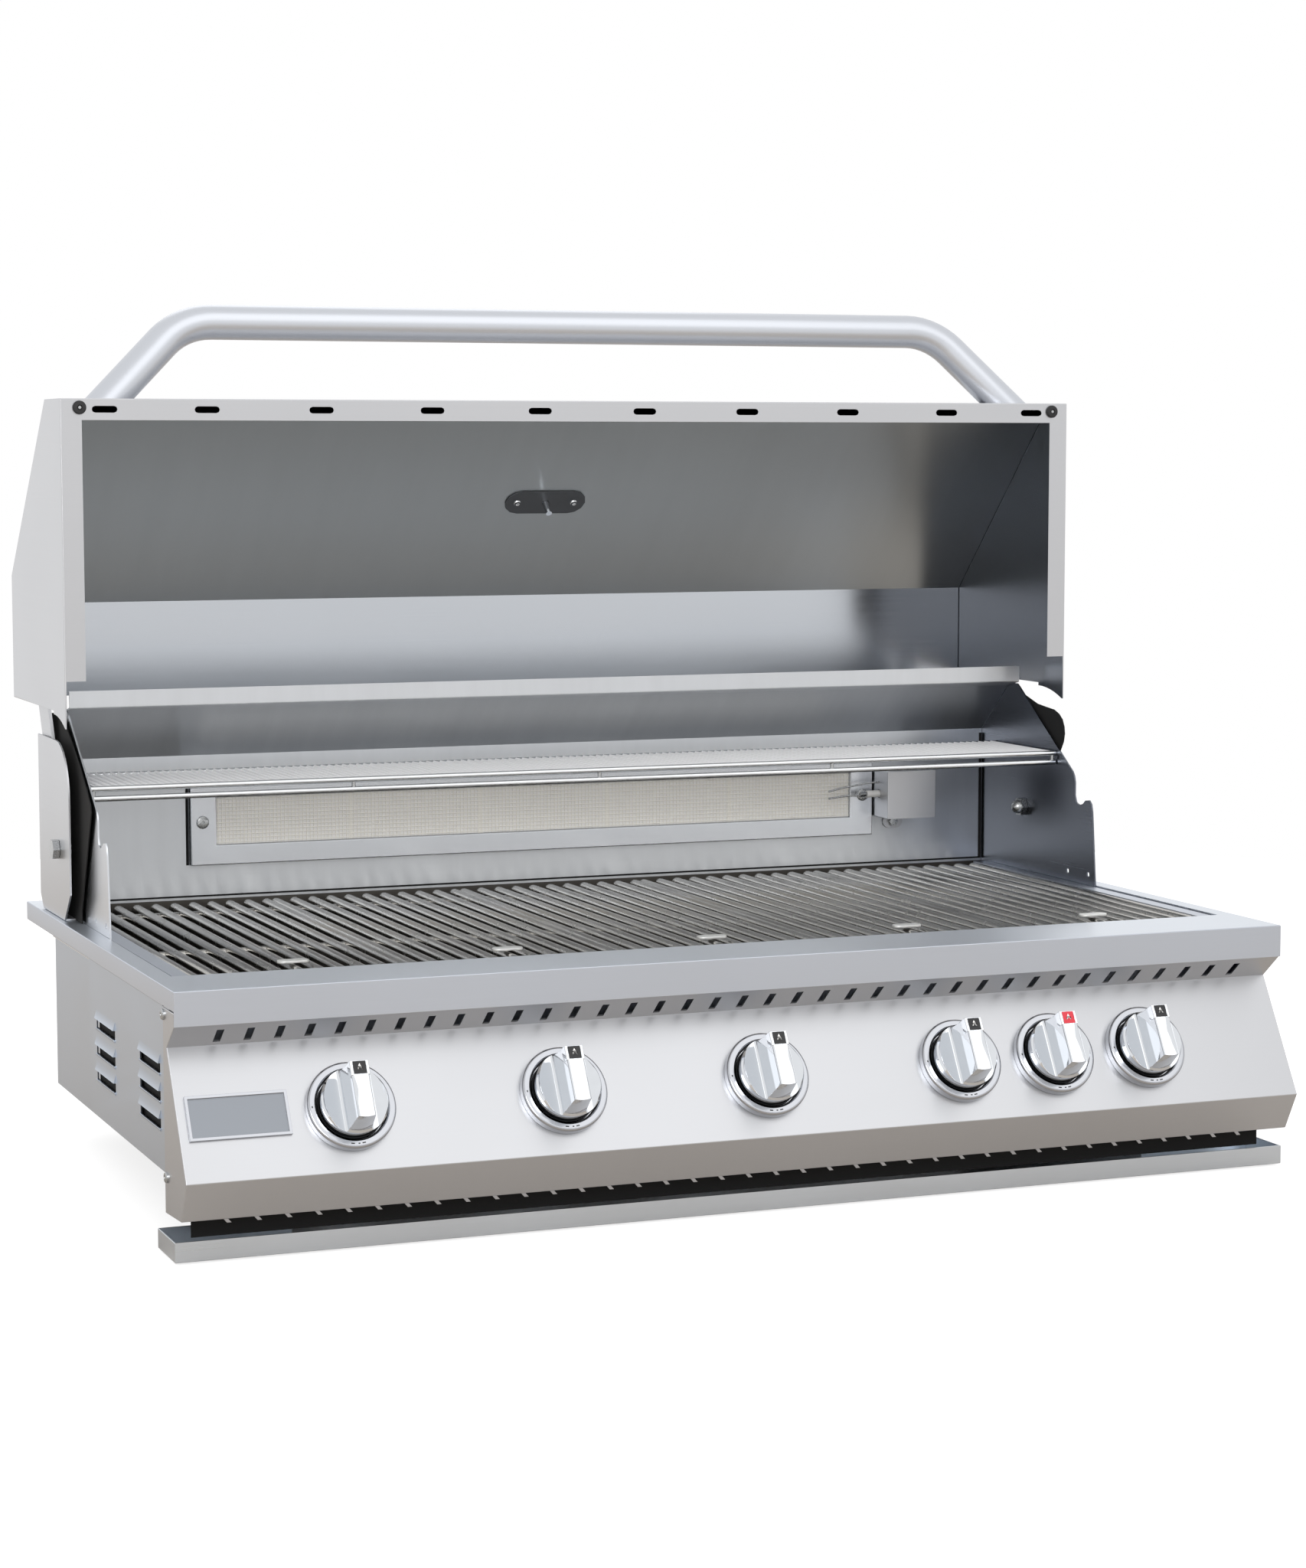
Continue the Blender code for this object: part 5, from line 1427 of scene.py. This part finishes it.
@dataclass
class WarmingRack:
    """Wire rack that hangs on pins between the side shields."""

    rod: float = 2.6 * MM
    wire: float = 1.9 * MM
    wire_pitch: float = 7 * MM
    posts: int = 5
    lower_drop: float = 8.8 * MM
    wall_gap: float = 1 * MM
    pin_step: float = 0.3 * MM

    def build(self, rows: RodRow) -> None:
        """Make the rack in place of its node.

        Args:
            rows: the tree that makes rods.
        """
        low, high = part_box("warming_rack")
        inner = frame_half("rear_hood") - self.wall_gap
        end = inner - self.rod
        top, level = high.z - self.rod, high.z - self.wire
        low_rod = top - self.lower_drop
        front, rear = low.y + self.rod, high.y - self.rod
        spots = ((front, top), (front, low_rod), (rear, top))
        parts = [rows.rods([[(-inner, *spot), (inner, *spot)] for spot in spots], WIRE_STEEL, self.rod,
                           sides=14)]
        for side, reach in ((-end, low.x), (end, high.x)):
            parts.append(rows.rods([[(side, front, top), (side, rear, top)]], WIRE_STEEL, self.rod, sides=14))
            pins = [[(side, y, top), (reach, y, top)] for y in (front, rear)]
            parts.append(rows.rods(pins, WIRE_STEEL, self.rod - self.pin_step))
        count = round(2 * inner / self.wire_pitch)
        first = self.rod - end
        wire = [(first, front, level), (first, rear, level)]
        parts.append(rows.rods([wire], RACK_STEEL, self.wire, sides=8, count=count + 1,
                               step=(-2 * first / count, 0, 0)))
        post = [(-end, front, top), (-end, front, low_rod)]
        parts.append(rows.rods([post], ZINC, self.wire, sides=10, count=self.posts,
                               step=(2 * end / (self.posts - 1), 0, 0)))
        keep("warming_rack_wires", parts, "satin_stainless", "root", "warming_rack")


def frame_half(node: str) -> float:
    """Half the width of a node that is centred on the grill."""
    low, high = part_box(node)
    return (high.x - low.x) / 2


@dataclass
class RearBurner:
    """Infrared burner on the rear wall, with its wire guard and igniter."""

    tiles: int = 5
    mesh_pitch: float = 3.6 * MM
    mesh_wire: float = 0.5 * MM
    joint_width: float = 4 * MM
    joint_proud: float = 0.5 * MM
    screw_inset: float = 11.3 * MM
    screw_rise: float = 41 * MM
    screw_size: float = 1.35
    seam: float = 2.8 * MM
    ceramic_radius: float = 3.6 * MM
    lead_radius: float = 1.0 * MM
    lead_reach: float = 56 * MM
    seam_gap: float = 0.4 * MM
    lead_bend: float = 6 * MM
    lead_sink: float = 2 * MM
    lead_elbows: tuple[float, float] = (20 * MM, 14 * MM)
    lower_rises: tuple[float, ...] = (-1 * MM, -1 * MM, -3 * MM)
    upper_rises: tuple[float, ...] = (12 * MM, 11 * MM, 7 * MM, 4 * MM)
    ceramic_reach: float = 14 * MM
    collar_ends: tuple[float, float] = (2 * MM, -7 * MM)
    collar_radius: float = 2.7 * MM
    tab: tuple[float, float, float] = (22 * MM, 14 * MM, 1.5 * MM)
    tab_inset: float = 25 * MM
    tab_sink: float = 0.2 * MM
    tab_ease: float = 0.3 * MM
    bolt: tuple[float, float] = (5 * MM, 3.4 * MM)
    fold: float = 1.2 * MM

    def build(self, rows: RodRow, scatter: Scatter, fasteners: Fasteners) -> None:
        """Frame, tiles with their guard, screws and igniter.

        Args:
            rows: the tree that makes rods.
            scatter: the tree that copies a piece onto spots.
            fasteners: the screws and caps.
        """
        FoldedSheet("rear_burner_frame", INNER_STEEL, self.fold).build()
        FoldedSheet("igniter_box", CASE_STEEL, self.fold).build()
        self.build_tiles(rows)
        self.build_electrode(rows)
        self.build_fasteners(scatter, fasteners)

    def build_tiles(self, rows: RodRow) -> None:
        """Ceramic tiles with pale joints, behind a fine wire guard.

        Args:
            rows: the tree that makes rods.
        """
        low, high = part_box("rear_burner_tile")
        size = high - low
        front, half = low.y - self.joint_proud, self.joint_width / 2
        middles = [low.x + size.x / self.tiles * index for index in range(1, self.tiles)]
        joints = [block((x - half, front, low.z), (x + half, low.y + MM, high.z)) for x in middles]
        parts = [mesh_of([block(low, high)], CERAMIC), mesh_of(joints, GUARD_WIRE)]
        left, foot = low.x + self.mesh_pitch / 2, low.z + self.mesh_pitch / 2
        across, up = (round(reach / self.mesh_pitch) for reach in (size.x, size.z))
        upright = [(left, front, z) for z in (low.z, high.z)]
        level = [(x, front, foot) for x in (low.x, high.x)]
        for path, count, step in ((upright, across, (size.x / across, 0, 0)),
                                  (level, up, (0, 0, size.z / up))):
            parts.append(rows.rods([path], GUARD_WIRE, self.mesh_wire, sides=5, count=count, step=step))
        keep("rear_burner_tiles", parts, "burner_ceramic", "root", "rear_burner_tile")

    def build_electrode(self, rows: RodRow) -> None:
        """Porcelain body in the igniter's side and two bent leads in front of the tiles.

        Args:
            rows: the tree that makes rods.
        """
        low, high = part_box("igniter_electrode")
        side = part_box("igniter_box")[0].x
        y, z = ((low + high) / 2).yz
        end, tip = side - self.ceramic_reach, side - self.lead_reach
        body = [(high.x, y, z), (end, y, z)]
        collar = [(end + reach, y, z) for reach in self.collar_ends]
        near, far = (tip + reach for reach in self.lead_elbows)
        root = side + self.lead_sink
        lower = [(x, y, z + rise) for x, rise in zip((end, near, tip), self.lower_rises)]
        upper = [(x, y, z + rise) for x, rise in zip((root, end, far, tip), self.upper_rises)]
        keep("igniter_leads", (rows.rods([body], PORCELAIN, self.ceramic_radius, sides=20),
                               rows.rods([collar], ZINC, self.collar_radius, sides=6),
                               rows.rods([lower, upper], ZINC, self.lead_radius, sides=10,
                                         bend=self.lead_bend)),
             "electrode_porcelain", "root", "igniter_electrode")

    def build_fasteners(self, scatter: Scatter, fasteners: Fasteners) -> None:
        """Screws of the burner frame, the black seam of painted shade beside it and the igniter's bolt tab.

        Args:
            scatter: the tree that copies a piece onto spots.
            fasteners: the screws and caps.
        """
        low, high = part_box("rear_burner_frame")
        rise = low.z + self.screw_rise
        spots = [(low.x + self.screw_inset, low.y, rise), (high.x - self.screw_inset, low.y, rise)]
        mesh = scatter.copies(fasteners.screw(self.screw_size), spots, FACING_FRONT, ZINC)
        keep("burner_screws.001", (mesh,), "zinc_fastener")
        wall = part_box("rear_burner_tile")[1].y
        line = seam(low.x - self.seam, low.x - self.seam_gap, wall, low.z, high.z)
        keep("burner_seam", (mesh_of([line], SHADE_BLACK),), "zinc_fastener")
        low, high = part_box("igniter_box")
        length, height, gauge = self.tab
        middle, level = low.x + self.tab_inset, low.z - height / 2
        back = high.y - self.tab_sink
        outline = [(middle + across, level + up) for across, up in stadium(length, height, 6)]
        plate = mesh_of([prism(outline, "Y", back - gauge, back)], CASE_STEEL)
        radius, head = self.bolt
        bolt = moved(lathe([(0, 0), (radius, 0), (radius, head), (0, head)], 24, True),
                     Matrix.Translation((middle, back - gauge, level)) @ FACING_FRONT)
        keep("igniter_tab", (smoothed(plate, self.tab_ease), smoothed(mesh_of([bolt], ZINC), EASE)),
             "zinc_fastener")


@dataclass
class RearWall:
    """Rear wall, side shields, hinge ears and hinge bolts."""

    cover_faces: tuple[float, float] = (486, 487)
    cover_outline: tuple[tuple[float, float], ...] = (
        (464, 177), (492, 181), (516, 181), (530, 177), (538, 168), (540, 158), (540, 100), (526, 0.6),
        (403, 0.6), (403, 11))
    cover_noses: tuple[tuple[tuple[float, float], ...], ...] = (
        ((357, 104), (360, 111), (375, 123), (404, 143), (438, 163)),
        ((392, 100), (384, 122), (376, 134), (374, 142), (375, 149), (379, 156), (386, 161), (396, 164.5),
         (412, 166), (431, 168)))
    seam: float = 3 * MM
    seam_height: float = 130 * MM
    seam_gap: float = 0.2 * MM
    seam_rise: float = 0.5 * MM
    seam_width: float = 1.6 * MM

    def build(self, scatter: Scatter, fasteners: Fasteners) -> None:
        """Round the sheets' folds and cap the hinge bolts.

        Args:
            scatter: the tree that copies a piece onto spots.
            fasteners: the screws and caps.
        """
        FoldedSheet("rear_hood", HOOD_STEEL).build()
        self.build_seams()
        # The right shield gets the darker copy of the sheet: painted shade
        for side, inwards, steel in zip(Side, reversed(Side), (INNER_STEEL, SHADED_STEEL)):
            FoldedSheet(f"side_shield_{side.word}", steel).build()
            self.build_cover(side)
            FoldedSheet(f"hinge_ear_{side.word}", CASE_STEEL).build()
            dress(f"hinge_bolt_{side.word}", ZINC)
            low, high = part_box(f"hinge_bolt_{side.word}")
            spot = ((high if side is Side.LEFT else low).x, *((low + high) / 2).yz)
            mesh = scatter.copies(fasteners.acorn(), [spot], FACING[inwards], ZINC)
            keep(f"hinge_cap_{side.word}.001", (mesh,), "zinc_fastener")

    def build_cover(self, side: Side) -> None:
        """Black plate of painted shade between the shield and the hinge ear, round about the hinge.

        Args:
            side: the side of the grill.
        """
        nose = self.cover_noses[0 if side is Side.LEFT else 1]
        outline = [tuple(case(0, deep, up).yz) for deep, up in (*nose, *self.cover_outline)]
        faces = sorted(case(side.value * face, 0, 0).x for face in self.cover_faces)
        plate = mesh_of([prism(outline, "X", *faces)], SHADE_BLACK)
        keep(f"hinge_cover_{side.word}", (plate,), "zinc_fastener")

    def build_seams(self) -> None:
        """Black lines of painted shade in the gaps where the rear wall meets the right shield, up to its
        bend, and the firebox.
        """
        low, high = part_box("rear_hood")
        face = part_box("rear_burner_tile")[1].y
        foot = TRIM_HIGH.z + self.seam_rise
        upright = seam(high.x - self.seam, high.x - self.seam_gap, face, foot, foot + self.seam_height)
        level = seam(low.x + MM, high.x - MM, face, foot, foot + self.seam_width)
        keep("wall_seams", (mesh_of([upright, level], SHADE_BLACK),), "zinc_fastener")


@dataclass
class Lid:
    """Open lid with its liner, handle, bumpers, dial and probe plate."""

    bumper_radius: float = 6 * MM
    bumper_height: float = 3 * MM
    bumper_inset: float = 17 * MM
    bumper_drop: float = 8 * MM
    bumper_shares: tuple[tuple[float, float], ...] = (
        (0, 0), (1, 0), (1, 0.55), (0.86, 0.9), (0.4, 1), (0.3, 0.6), (0, 0.6))
    pin_shares: tuple[tuple[float, float], ...] = ((0, 0), (0.22, 0), (0.22, 0.8), (0, 0.85))
    liner_fold: float = 0.9 * MM
    arm_fold: float = 1.2 * MM
    end_slope: float = 0.7
    upper_slope: float = 0.3
    handle_radius: float = 15.8 * MM
    foot_x: float = 447 * MM
    bar_x: float = 376 * MM
    foot_y: float = 436
    bar_y: float = 455
    bar_z: float = 535.9
    bend_start: float = 27 * MM
    handle_cut: float = 100 * MM
    stem_cut: tuple[float, float] = (20 * MM, 500 * MM)
    dial_radius: float = 24 * MM
    dial_faces: tuple[float, float] = (-0.5 * MM, 0.25 * MM)
    dial_start: float = 225
    dial_sweep: float = 270
    dial_ticks: int = 41
    tick_inset: float = 1.2 * MM
    tick_half: float = 0.22 * MM
    tick_lengths: tuple[float, float] = (4.6 * MM, 2.4 * MM)
    tick_faces: tuple[float, float] = (0.2 * MM, 0.4 * MM)
    needle: tuple[tuple[float, float], ...] = (
        (-5 * MM, -1 * MM), (17 * MM, -0.25 * MM), (17 * MM, 0.25 * MM), (-5 * MM, 1 * MM))
    needle_faces: tuple[float, float] = (0.35 * MM, 0.7 * MM)
    hub: tuple[tuple[float, float], ...] = (
        (0, 0.2 * MM), (2.6 * MM, 0.2 * MM), (2.6 * MM, 0.8 * MM), (0, 0.9 * MM))
    arm_rise: float = 4 * MM
    probe_reach: float = 15 * MM
    probe_rivets: float = 29 * MM
    rivet_head: float = 2.4 * MM

    def build(self, rows: RodRow, scatter: Scatter, fasteners: Fasteners) -> None:
        """Make the lid's pieces; all of them ride on the lid.

        Args:
            rows: the tree that makes rods.
            scatter: the tree that copies a piece onto spots.
            fasteners: the screws and caps.
        """
        self.build_sheets()
        for side in Side:
            self.build_arm(side)
        self.build_handle(rows)
        self.build_bumpers()
        self.build_dial()
        self.build_probe_rivets(scatter, fasteners)
        dress("probe_plate", DULL_STEEL)

    def build_sheets(self) -> None:
        """Shell and liner; painted shade darkens the inner end walls and the liner's upper sheet, which also
        carries painted reflection streaks.
        """
        for sheet in (FoldedSheet("lid_shell", CASE_STEEL, body="lid"),
                      FoldedSheet("lid_liner", LINER_STEEL, self.liner_fold, "lid", "oven_stainless")):
            mesh = sheet.rounded()
            for finish in (SHADE_LINER, UPPER_LINER):
                mesh.materials.append(finish.material())
            for face in mesh.polygons:
                across, up = face.normal.x, face.normal.z
                if abs(across) > self.end_slope and across * (face.center.x - CASE.x) < 0:
                    face.material_index = 1
                elif sheet.node == "lid_liner" and up < -self.upper_slope and abs(across) < self.upper_slope:
                    face.material_index = 2
            sheet.build(mesh)

    def build_arm(self, side: Side) -> None:
        """Arm sheet up to the lid's lower flange, behind which it can't be seen.

        Args:
            side: the side of the grill.
        """
        sheet = FoldedSheet(f"lid_arm_{side.word}", CASE_STEEL, self.arm_fold, "lid")
        low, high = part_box(sheet.node)
        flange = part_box("lid_liner")[0].z
        margin = Vector((MM, MM, MM))
        above = block((*(low - margin).xy, flange + self.arm_rise), high + margin)
        sheet.build(smoothed(combined(sheet.rounded(), [above], "DIFFERENCE", CASE_STEEL)))

    def build_handle(self, rows: RodRow) -> None:
        """Bent tube whose feet stand on the lid.

        Args:
            rows: the tree that makes rods.
        """
        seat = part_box("lid_handle")[0].z
        foot = Vector((self.foot_x, case(0, self.foot_y, 0).y, seat))
        corner = Vector((self.bar_x, *case(0, self.bar_y, self.bar_z).yz))
        leg = (corner - foot).normalized()
        turn = leg.angle(Vector((-1, 0, 0)))
        start = foot - leg * self.handle_radius * 2
        path = [(-start.x, *start.yz), (-corner.x, *corner.yz), corner, start]
        bend = self.bend_start / math.tan(turn / 2)
        tube = rows.rods([path], TUBE_STEEL, self.handle_radius, sides=48, bend=bend)
        cut = self.handle_cut
        reach = start.x + cut
        below = block((-reach, start.y - cut, seat - 2 * cut), (reach, corner.y + cut, seat))
        tube = combined(tube, [below], "DIFFERENCE", TUBE_STEEL)
        keep("handle_tube", (shaded(tube, 50),), "satin_stainless", "lid", "lid_handle")

    def build_bumpers(self) -> None:
        """Black rubber bumpers with a pin, at the ends of the slotted lip."""
        low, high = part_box("lid_shell")
        edge, top = self.bumper_radius, self.bumper_height
        profile, pin = ([(edge * across, top * up) for across, up in shares]
                        for shares in (self.bumper_shares, self.pin_shares))
        for side in Side:
            x = low.x + self.bumper_inset if side is Side.LEFT else high.x - self.bumper_inset
            spot = Matrix.Translation((x, low.y, high.z - self.bumper_drop)) @ FACING_FRONT
            parts = [smoothed(mesh_of([moved(shape, spot)], finish)) for shape, finish in
                     ((lathe(profile, 32), RUBBER), (lathe(pin, 16), ZINC))]
            keep(f"lid_bumper_{side.word}", parts, "zinc_fastener", "lid")

    def dial_place(self) -> Matrix:
        """Frame on the outer bevel at the dial: z out of the lid.

        Returns:
            The frame as a matrix.
        """
        points = [vertex.co for vertex in frame["nodes"]["thermometer"].data.vertices]
        low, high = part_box("probe_plate")
        inner = (low + high) / 2
        centre = sum(points, Vector()) / len(points)
        out = Vector((0, *(centre - inner).yz)).normalized()
        top = max(out.dot(point) for point in points)
        return Matrix.Translation(inner + out * (top - out.dot(inner))) @ facing(out)

    def build_probe_rivets(self, scatter: Scatter, fasteners: Fasteners) -> None:
        """Two bright rivets on the probe's plate.

        Args:
            scatter: the tree that copies a piece onto spots.
            fasteners: the screws and caps.
        """
        low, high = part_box("probe_plate")
        turn = self.dial_place().to_3x3()
        out = turn.col[2]
        points = [vertex.co for vertex in frame["nodes"]["probe_plate"].data.vertices]
        face = min(out.dot(point) for point in points) + self.rivet_head
        middle = (low + high) / 2
        spot = middle + out * (face - out.dot(middle))
        spots = [spot + Vector((across, 0, 0)) for across in (-self.probe_rivets, self.probe_rivets)]
        inwards = turn.to_4x4() @ Matrix.Rotation(math.pi, 4, "X")
        mesh = scatter.copies(fasteners.cap(), spots, inwards, WIRE_STEEL)
        keep("probe_rivets.001", (mesh,), "zinc_fastener", "lid")

    def build_dial(self) -> None:
        """Thermometer: the CAD case in chrome with its stem cut short, a white dial, ticks and a needle."""
        place = self.dial_place()
        low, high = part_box("probe_plate")
        plate = place.inverted() @ ((low + high) / 2)
        half, depth = self.stem_cut
        past = block((-half, -half, -depth), (half, half, plate.z - self.probe_reach))
        case_mesh = combined(copied("thermometer", CHROME), [moved(past, place)], "DIFFERENCE", CHROME)
        keep("thermometer_case", (smoothed(case_mesh),), "chromed_zinc", "lid", "thermometer")
        radius, (foot, face) = self.dial_radius, self.dial_faces
        disc = lathe([(0, foot), (radius, foot), (radius, face), (0, face)], 48)
        ticks = []
        start, sweep = self.dial_start, self.dial_sweep
        edge, half, (low, high) = radius - self.tick_inset, self.tick_half, self.tick_faces
        for index in range(self.dial_ticks):
            angle = math.radians(start - sweep * index / (self.dial_ticks - 1))
            length = self.tick_lengths[0 if index % 5 == 0 else 1]
            ticks.append(moved(block((edge - length, -half, low), (edge, half, high)),
                               Matrix.Rotation(angle, 4, "Z")))
        needle = prism(self.needle, "Z", *self.needle_faces)
        pointer = [moved(needle, Matrix.Rotation(math.radians(start), 4, "Z")), lathe(self.hub, 20)]
        parts = (([disc], WHITE_PAINT), (ticks, BLACK_PAINT), (pointer, RED_PAINT))
        keep("thermometer_dial", [shifted(mesh_of(shapes, finish), place) for shapes, finish in parts],
             "chromed_zinc", "lid")


@dataclass
class Interior:
    """Firebox, burners, flame tamers and gas manifold, which keep their CAD shapes."""

    burners: int = 5
    outside: float = 0.2 * MM

    def build_firebox(self) -> None:
        """Firebox whose outside is brushed and whose inside the fire has dulled, darkened further as painted
        shade.
        """
        low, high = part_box("firebox")
        box = copied("firebox", FIREBOX_SHADE_STEEL, SIDE_STEEL)
        for face in box.polygons:
            inset = (*(face.center - low), *(high - face.center).xy)
            face.material_index = int(min(inset) < self.outside)
        keep("firebox_sheet", (box,), "brushed_stainless", "root", "firebox")

    def build(self) -> None:
        """Dress the inner pieces."""
        self.build_firebox()
        dress("gas_manifold", BRASS)
        for number in range(1, self.burners + 1):
            dress(f"burner_{number}", FIRED_STEEL)
            dress(f"flame_tamer_{number}", FIRED_STEEL)


@dataclass
class Studio:
    """Pale floor, white surround, soft lamps and the photograph's camera."""

    eye: tuple[float, float, float] = (-1116.0, -2553.8, 419.2)
    azimuth: float = -21.71
    pitch: float = 84.37
    roll: float = -0.03
    lens: float = 77.43
    surround_strength: float = 1.0
    floor_radius: float = 2.4
    floor_drop: float = 0.5 * MM
    floor_sides: int = 96
    floor_colour: str = "#c0b8af"
    shown_colour: str = "#a8a8a8"
    floor_glow: float = 0.78
    lamps: tuple[tuple[str, tuple[float, float, float], float, float], ...] = (
        ("overhead_softbox", (0.8, -1.9, 2.3), 2.2, 9.5), ("rear_softbox", (0.3, 2.2, 2.4), 1.8, 6.0),
        ("front_softbox", (-1.7, -3.25, 1.9), 1.5, 46.0))
    target: tuple[float, float, float] = (0, 0, 0.3)

    def build(self) -> None:
        """Set up the whole studio."""
        scene = bpy.context.scene
        scene.view_settings.view_transform = "Standard"
        self.build_world(scene)
        self.build_floor()
        for name, spot, size, power in self.lamps:
            self.lamp(name, Vector(spot), size, power)
        self.build_camera(scene)

    def rays(self, tree: Tree, *kinds: str) -> Socket:
        """1 for rays of the given kinds, and 0 for the others.

        Args:
            tree: the material's node tree.
            kinds: names of the Light Path node's outputs.

        Returns:
            A value of 0 or 1.
        """
        path = add(tree, "ShaderNodeLightPath").outputs
        total = path[kinds[0]]
        for kind in kinds[1:]:
            total = add(tree, "ShaderNodeMath", {"operation": "ADD", "use_clamp": True},
                        {0: total, 1: path[kind]}).outputs[0]
        return total

    def build_world(self, scene: bpy.types.Scene) -> None:
        """White where it is seen, and a plain soft level where it lights.

        Args:
            scene: the scene to light.
        """
        world = bpy.data.worlds.new("white_surround")
        world.use_nodes = True
        tree = world.node_tree
        tree.nodes.clear()
        lit, white = (add(tree, "ShaderNodeBackground", None,
                          {"Color": linear("#ffffff"), "Strength": strength})
                      for strength in (self.surround_strength, 1.0))
        shown = self.rays(tree, "Is Camera Ray", "Is Glossy Ray", "Is Transmission Ray")
        mixed = add(tree, "ShaderNodeMixShader", None, {0: shown, 1: lit.outputs[0], 2: white.outputs[0]})
        add(tree, "ShaderNodeOutputWorld", None, {"Surface": mixed.outputs[0]})
        scene.world = world

    def build_floor(self) -> None:
        """Round pale floor. The camera sees it as white with the grill's shadow on it."""
        material = bpy.data.materials.new("pale_floor")
        material.use_nodes = True
        tree = material.node_tree
        tree.nodes.clear()
        pale = add(tree, "ShaderNodeBsdfDiffuse", None, {"Color": linear(self.floor_colour)})
        shown = add(tree, "ShaderNodeBsdfDiffuse", None, {"Color": linear(self.shown_colour)})
        glow = add(tree, "ShaderNodeEmission", None,
                   {"Color": linear("#ffffff"), "Strength": self.floor_glow})
        white = add(tree, "ShaderNodeAddShader", None, {0: shown.outputs[0], 1: glow.outputs[0]})
        seen = self.rays(tree, "Is Camera Ray", "Is Transmission Ray")
        mixed = add(tree, "ShaderNodeMixShader", None, {0: seen, 1: pale.outputs[0], 2: white.outputs[0]})
        add(tree, "ShaderNodeOutputMaterial", None, {"Surface": mixed.outputs[0]})
        mesh = bpy.data.meshes.new("floor")
        turns = [math.tau * side / self.floor_sides for side in range(self.floor_sides)]
        reach, drop = self.floor_radius, self.floor_drop
        rim = [(reach * math.cos(turn), reach * math.sin(turn), -drop) for turn in turns]
        mesh.from_pydata(rim, [], [tuple(range(len(rim)))])
        mesh.materials.append(material)
        thing("floor", mesh)

    def lamp(self, name: str, spot: Vector, size: float, power: float) -> None:
        """Square soft lamp that looks at the grill.

        Args:
            name: the lamp's name.
            spot: where it hangs.
            size: the length of its edge.
            power: its power in watts.
        """
        light = bpy.data.lights.new(name, "AREA")
        light.shape = "SQUARE"
        light.size = size
        light.energy = power
        item = bpy.data.objects.new(name, light)
        item.location = spot
        item.rotation_euler = (Vector(self.target) - spot).to_track_quat("-Z", "Y").to_euler()
        bpy.context.scene.collection.objects.link(item)

    def build_camera(self, scene: bpy.types.Scene) -> None:
        """Camera at the photograph's viewing angle.

        Args:
            scene: the scene that it shows.
        """
        data = bpy.data.cameras.new("photo_camera")
        data.sensor_width = 36.0
        data.lens = self.lens
        data.clip_end = 100.0
        item = bpy.data.objects.new("photo_camera", data)
        scene.collection.objects.link(item)
        turn = (Matrix.Rotation(math.radians(self.azimuth), 4, "Z")
                @ Matrix.Rotation(math.radians(self.pitch), 4, "X")
                @ Matrix.Rotation(math.radians(self.roll), 4, "Z"))
        item.matrix_world = Matrix.Translation(case(*self.eye)) @ turn
        scene.camera = item


def main() -> None:
    """Build every sub-assembly in order."""
    logging.basicConfig(level=logging.INFO, format="%(name)s: %(message)s")
    rows, scatter, fasteners = RodRow(), Scatter(), Fasteners()
    Studio().build()
    Case().build(scatter, fasteners)
    Controls().build()
    CookingGrates().build(rows)
    WarmingRack().build(rows)
    RearBurner().build(rows, scatter, fasteners)
    RearWall().build(scatter, fasteners)
    Lid().build(rows, scatter, fasteners)
    Interior().build()


if __name__ == "__main__":
    main()
